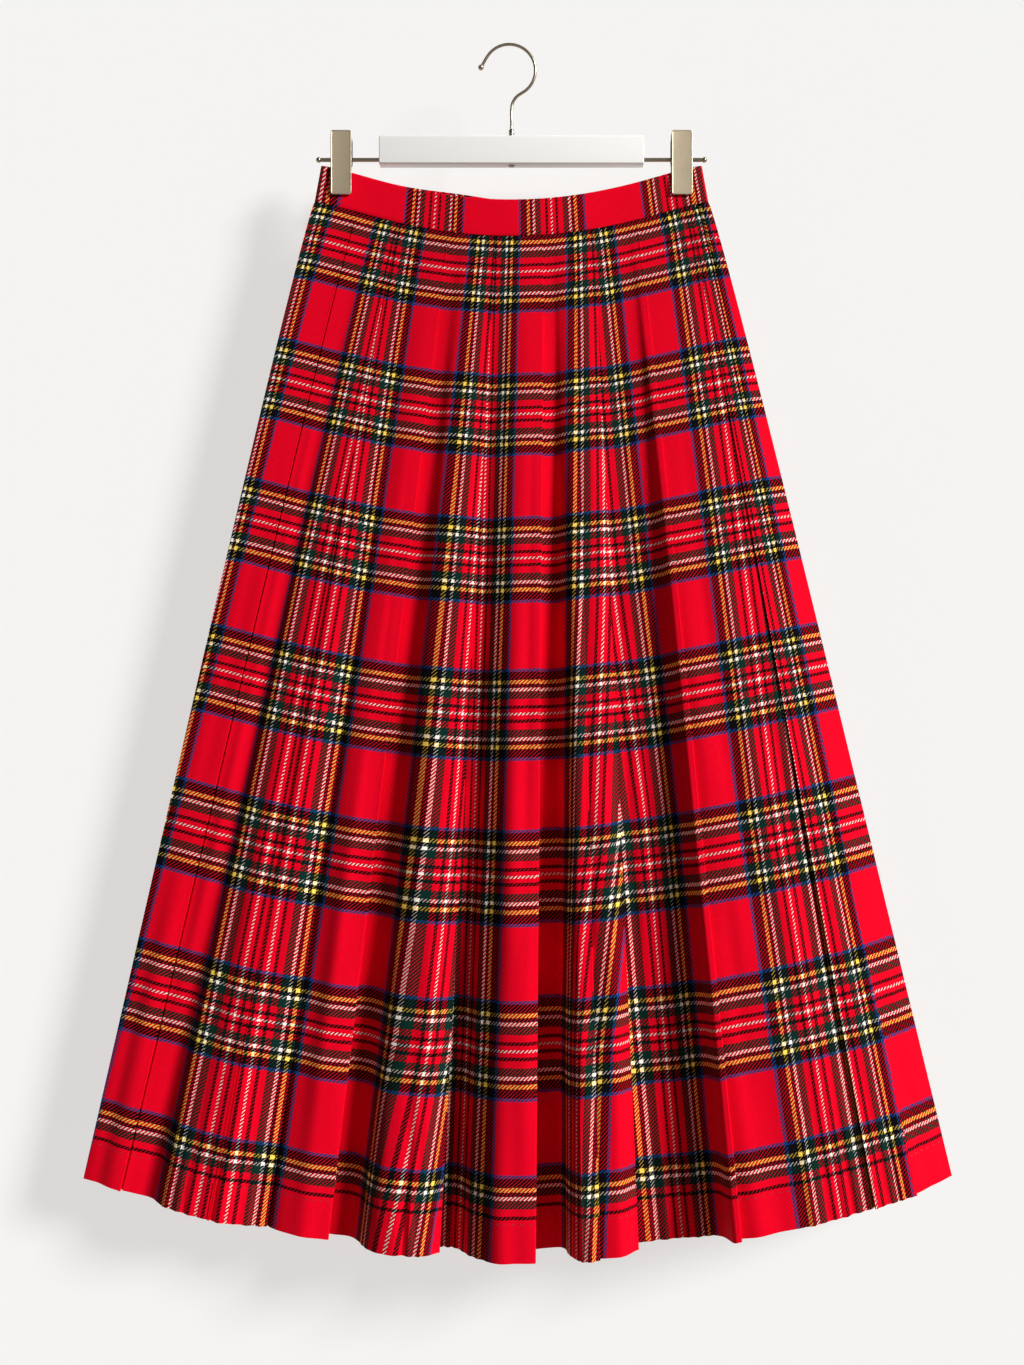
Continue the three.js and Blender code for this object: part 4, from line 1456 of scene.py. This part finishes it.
    def build(self, wardrobe: Wardrobe) -> None:
        """Builds both bands, the tab and the button."""
        front = wardrobe.dress(
            "band_front", self.band(WAIST.front_bow, 0.0, FRONT_STRIPES, False),
            Finish.BAND, "band_cloth", "waistband_front",
        )
        back_shape = self.band(WAIST.back_bow, WAIST.back_lift, BACK_STRIPES, True).turned_round()
        back = wardrobe.dress("band_back", back_shape, Finish.BAND, "band_cloth", "waistband_back")
        tab = wardrobe.dress("band_tab", self.tab(), Finish.BAND, "band_cloth", "waistband_tab")
        wardrobe.dress("button_dish", self.button(), Finish.RESIN, "button", "waist_button")
        # Dark plugs as painted shade in the button's holes, in the black rubber finish.
        wardrobe.dress("button_hole_shade", self.button_hole_shade(), Finish.RUBBER, None)
        wardrobe.dress("button_thread", self.button_thread(), Finish.RED_THREAD, None)


# The hanger.


@dataclass
class Hanger:
    """White bar with a steel rod through it and a wire hook screwed into its top."""

    wire_radius: float = 1.4
    bend_radius: float = 23.4
    centre_x: float = -2.0
    tip_angle: float = 150.0
    tip_length: float = 10.5
    low_angle: float = -63.0
    ball_radius: float = 2.6
    bar_width: float = 237.6
    bar_top: float = -82.4
    bar_bottom: float = -107.9
    bar_depth: float = 14.0
    bar_edge: float = 1.7
    bar_end_round: float = 0.9
    screw_radius: float = 3.0
    ferrule_radius: float = 2.5
    ferrule_length: float = 7.0
    rod_radius: float = 1.85
    rod_z: float = -102.6
    rod_half: float = 176.0
    rod_ball: float = 2.5
    bend_every: float = 14.2
    path_points: int = 260

    def hook_path(self) -> np.ndarray:
        """Centre line of the wire: straight tip, round bend, reverse bend and straight stem."""
        centre = np.array([self.centre_x, self.wire_radius - self.bend_radius])

        def around(angle: np.ndarray) -> np.ndarray:
            """Points of the round bend."""
            return centre + self.bend_radius * np.stack([np.cos(angle), np.sin(angle)], -1)

        tip = math.radians(self.tip_angle)
        out = self.tip_length * np.array([1.0, 0.66, 0.33])[:, None]
        straight = around(np.array(tip)) + out * np.array([-math.sin(tip), math.cos(tip)])
        angles = np.arange(self.tip_angle, self.low_angle, -self.bend_every)
        bend = around(np.radians(angles))
        low = around(np.radians(self.low_angle))
        heading = math.radians(self.low_angle - 90)
        reverse = low[0] / (1 + math.sin(heading))
        pivot = low + reverse * np.array([-math.sin(heading), math.cos(heading)])
        back = np.linspace(heading, -math.pi / 2, 5)
        s_bend = pivot + reverse * np.stack([np.sin(back), -np.cos(back)], -1)
        stem_end = self.rod_z + self.rod_radius + 2 * CLOTH.seam_gap
        drop = np.linspace(s_bend[-1, 1], stem_end, 5)[1:]
        stem = np.stack([np.zeros(4), drop], -1)
        flat = np.concatenate([straight, bend, s_bend, stem])
        path = np.stack([flat[:, 0], np.zeros(len(flat)), flat[:, 1]], -1)
        return centripetal(path, np.linspace(0, len(path) - 1, self.path_points))

    def hook(self) -> Shape:
        """The wire with a ball on its tip."""
        path = self.hook_path()
        ball = turned(ball_profile(self.ball_radius, math.pi / 2, 19), 32)
        return joined([tube(path, self.wire_radius), ball.moved(path[0, 0], 0, path[0, 2])])

    def bar(self) -> Shape:
        """Rounded rectangles along X; the two ends round over by a small quarter round."""
        height = self.bar_top - self.bar_bottom
        angle = np.linspace(0, math.pi / 2, 5)
        inset = self.bar_end_round * (1 - np.sin(angle))
        out = self.bar_width / 2 - self.bar_end_round * (1 - np.cos(angle))
        places = np.concatenate([-out, out[::-1]])
        insets = np.concatenate([inset, inset[::-1]])
        rings = []
        for x, cut in zip(places, insets):
            flat = rounded_outline(self.bar_depth - 2 * cut, height - 2 * cut, self.bar_edge)
            rings.append(np.stack([np.full(len(flat), x), flat[:, 0], flat[:, 1]], -1))
        middle = (self.bar_top + self.bar_bottom) / 2
        return stacked_rings(np.array(rings)).moved(0, 0, middle)

    def rod(self) -> Shape:
        """A rod along X with a small ball on each end."""
        reach = self.rod_half - self.rod_ball
        ball = [(radius, x - reach) for radius, x in ball_profile(self.rod_ball, 0.9, 14)]
        half = [*ball, (self.rod_radius, ball[-1][1] + 0.35)]
        profile = half + [(radius, -x) for radius, x in reversed(half)]
        shape = turned(profile, 32)
        x, y, z = shape.points.T
        shape.points = np.stack([z, x, y + self.rod_z], -1)
        return shape

    def ferrule(self) -> Shape:
        """A sleeve at the foot of the stem, with a crimped groove."""
        low = self.bar_top + CLOTH.seam_gap
        r, high = self.ferrule_radius, low + self.ferrule_length
        inside = self.wire_radius + 0.15
        foot = [(inside, low), (r, low), (r, low + 1.6)]
        groove = [(r - 0.25, low + 1.9), (r - 0.25, low + 2.2), (r, low + 2.5)]
        mouth = [(r, high - 1.2), (r - 0.3, high - 0.4), (inside + 0.2, high), (inside, high)]
        return turned(foot + groove + mouth, 32)

    def screw(self) -> Shape:
        """Domed head of the small screw under the bar."""
        top = self.bar_bottom - CLOTH.seam_gap
        r = self.screw_radius
        dome = [(POLE, top - 1.2), (r * 0.6, top - 1.1), (r * 0.9, top - 0.7), (r, top - 0.2)]
        return turned([*dome, (r, top), (POLE, top)], 32)

    def build(self, wardrobe: Wardrobe) -> None:
        """Builds the hook, bar, rod, ferrule and screw."""
        wardrobe.dress("bar", self.bar(), Finish.LACQUER, "white_paint", "hanger_bar")
        wardrobe.dress("rod", self.rod(), Finish.NICKEL, "nickel_wire", "hanger_rod")
        wardrobe.dress("hook", self.hook(), Finish.NICKEL, "nickel_wire", "hook_wire")
        wardrobe.dress("ferrule", self.ferrule(), Finish.NICKEL, "nickel_wire", "hook_ferrule")
        wardrobe.dress("screw", self.screw(), Finish.NICKEL, "nickel_wire", "bar_screw")


@dataclass
class SpringClip:
    """One clip: two sprung plates with a rubber pad on each jaw, and a black core on the rod."""

    side: int
    side_name: str
    x: float = 153.0
    width: float = 18.6
    top: float = -77.2
    bottom: float = -135.0
    corner: float = 2.2
    plate_wall: float = 1.2
    pad_wall: float = 1.1
    pad_height: float = 13.0
    body_top: float = -83.0
    body_bottom: float = -109.0
    body_overhang: float = 1.5

    def plate(self) -> Shape:
        """A plate with a thin raised border: its levels step in, up, in and down again."""
        w = self.plate_wall
        levels = [(0.3, 0.0), (0.08, 0.08), (0.0, 0.3), (0.0, w - 0.35), (0.1, w - 0.1), (0.35, w)]
        levels += [(0.8, w), (1.0, w - 0.06), (1.15, w - 0.2), (1.4, w - 0.22)]
        return slab(self.width, self.top - self.bottom, self.corner, levels)

    def build(self, wardrobe: Wardrobe) -> None:
        """Builds both jaws and the core."""
        pad_inner = CLOTH.seam_gap / 2 + WAIST.wall + CLOTH.seam_gap
        plate_inner = pad_inner + self.pad_wall + CLOTH.seam_gap
        middle = (self.top + self.bottom) / 2
        pad_middle = self.bottom + self.pad_height / 2 + 1
        for face in ("front", "back"):
            plate = self.plate().moved(0, -plate_inner, middle)
            pad = slab(self.width - 2, self.pad_height, 1.4, round_edges(self.pad_wall, 0.25))
            pad.moved(0, -pad_inner, pad_middle)
            for part, shape, finish, slot in (
                ("plate", plate, Finish.PLATE, "clip_plate"),
                ("pad", pad, Finish.RUBBER, "black_rubber"),
            ):
                if face == "back":
                    shape.turned_round()
                shape.moved(self.side * self.x)
                name = f"{self.side_name}_{part}_{face}"
                wardrobe.dress(name, shape, finish, slot, "clip_" + name)
        depth = 2 * (CLOTH.seam_gap / 2 + WAIST.wall + self.pad_wall)
        core = slab(
            self.width - 2 + self.body_overhang, self.body_top - self.body_bottom, 3.0,
            round_edges(depth, 0.7),
        )
        inward = -self.side * self.body_overhang / 2
        core.moved(self.side * self.x + inward, depth / 2, (self.body_top + self.body_bottom) / 2)
        name = f"{self.side_name}_core"
        wardrobe.dress(name, core, Finish.RUBBER, "black_rubber", "clip_" + name)


# The studio.


@dataclass
class Studio:
    """A pale wall behind the skirt, a pale floor below the view, soft light and the camera.

    The key comes from the right and from above, as wide as a large soft box; a second one from
    behind serves the views of the back, where the wall doesn't show. Places are in metres and
    angles in radians.
    """

    wall_y: float = 0.062
    floor_z: float = -1.45
    reach: float = 6.0
    view_distance: float = 1.5
    view_height: float = -0.57285
    view_x: float = 0.00045
    lens: float = 43.96
    room_light: float = 0.04
    key_power: float = 4.82
    key_side: float = 0.91
    key_up: float = 0.44
    key_spread: float = 0.25
    back_power: float = 1.6
    back_side: float = math.pi + 0.6
    back_up: float = 0.5
    back_spread: float = 0.6
    fill_power: float = 4.0
    fill_size: tuple[float, float] = (1.7, 0.7)
    fill_place: tuple[float, float, float] = (0.0, -3.0, 0.83)
    fill_tilt: float = 0.3
    sensor_width: float = 36.0
    daylight: tuple[float, float, float, float] = (1.0, 0.99, 0.98, 1.0)

    def surfaces(self, wardrobe: Wardrobe) -> None:
        """Wall and floor as two large quads that face the camera and up."""
        r, y, z = self.reach / MM, self.wall_y / MM, self.floor_z / MM
        wall = np.array([[-r, y, z], [r, y, z], [r, y, r], [-r, y, r]])
        floor = np.array([[-r, -r, z], [r, -r, z], [r, y, z], [-r, y, z]])
        for name, points, finish in (("wall", wall, Finish.WALL), ("floor", floor, Finish.FLOOR)):
            piece = wardrobe.write(name, Shape(points, [np.array([[0, 1, 2, 3]])]), finish)

    def soft_sun(self, name: str, side: float, up: float, power: float, spread: float) -> None:
        """Even soft light from one direction.

        Args:
            name: The lamp's name.
            side: Angle to the right of straight in front.
            up: Angle above the horizon.
            power: Watts for each square metre.
            spread: Width of the light as the skirt sees it.
        """
        data = bpy.data.lights.new(name, "SUN")
        data.energy = power
        data.angle = spread
        placed(name, data).rotation_euler = (math.pi / 2 - up, 0, side)

    def soft_box(self) -> None:
        """A wide soft light behind the camera, for the metal to mirror; it doesn't show itself."""
        data = bpy.data.lights.new("front_fill", "AREA")
        data.shape = "RECTANGLE"
        data.size, data.size_y = self.fill_size
        data.energy = self.fill_power
        lamp = placed("front_fill", data)
        lamp.location = self.fill_place
        lamp.rotation_euler = (math.pi / 2 - self.fill_tilt, 0, 0)
        lamp.visible_camera = False

    def build(self, wardrobe: Wardrobe) -> None:
        """Builds the stage, the lights, the world and the camera."""
        scene = bpy.context.scene
        self.surfaces(wardrobe)
        self.soft_sun("key", self.key_side, self.key_up, self.key_power, self.key_spread)
        self.soft_sun("back_key", self.back_side, self.back_up, self.back_power, self.back_spread)
        self.soft_box()
        world = bpy.data.worlds.new("soft_room")
        world.use_nodes = True
        background = world.node_tree.nodes["Background"]
        background.inputs["Color"].default_value = self.daylight
        background.inputs["Strength"].default_value = self.room_light
        scene.world = world
        scene.view_settings.view_transform = "Standard"
        data = bpy.data.cameras.new("camera")
        data.lens = self.lens
        data.sensor_width = self.sensor_width
        camera = placed("camera", data)
        camera.location = (self.view_x, -self.view_distance, self.view_height)
        camera.rotation_euler = (math.pi / 2, 0, 0)
        scene.camera = camera


def main() -> None:
    """Builds everything in order."""
    logging.basicConfig(level=logging.INFO, format="%(message)s")
    wardrobe = Wardrobe()
    PleatedSkirt().build(wardrobe)
    Waistband().build(wardrobe)
    Hanger().build(wardrobe)
    SpringClip(-1, "left").build(wardrobe)
    SpringClip(1, "right").build(wardrobe)
    Studio().build(wardrobe)


if __name__ == "__main__":
    main()
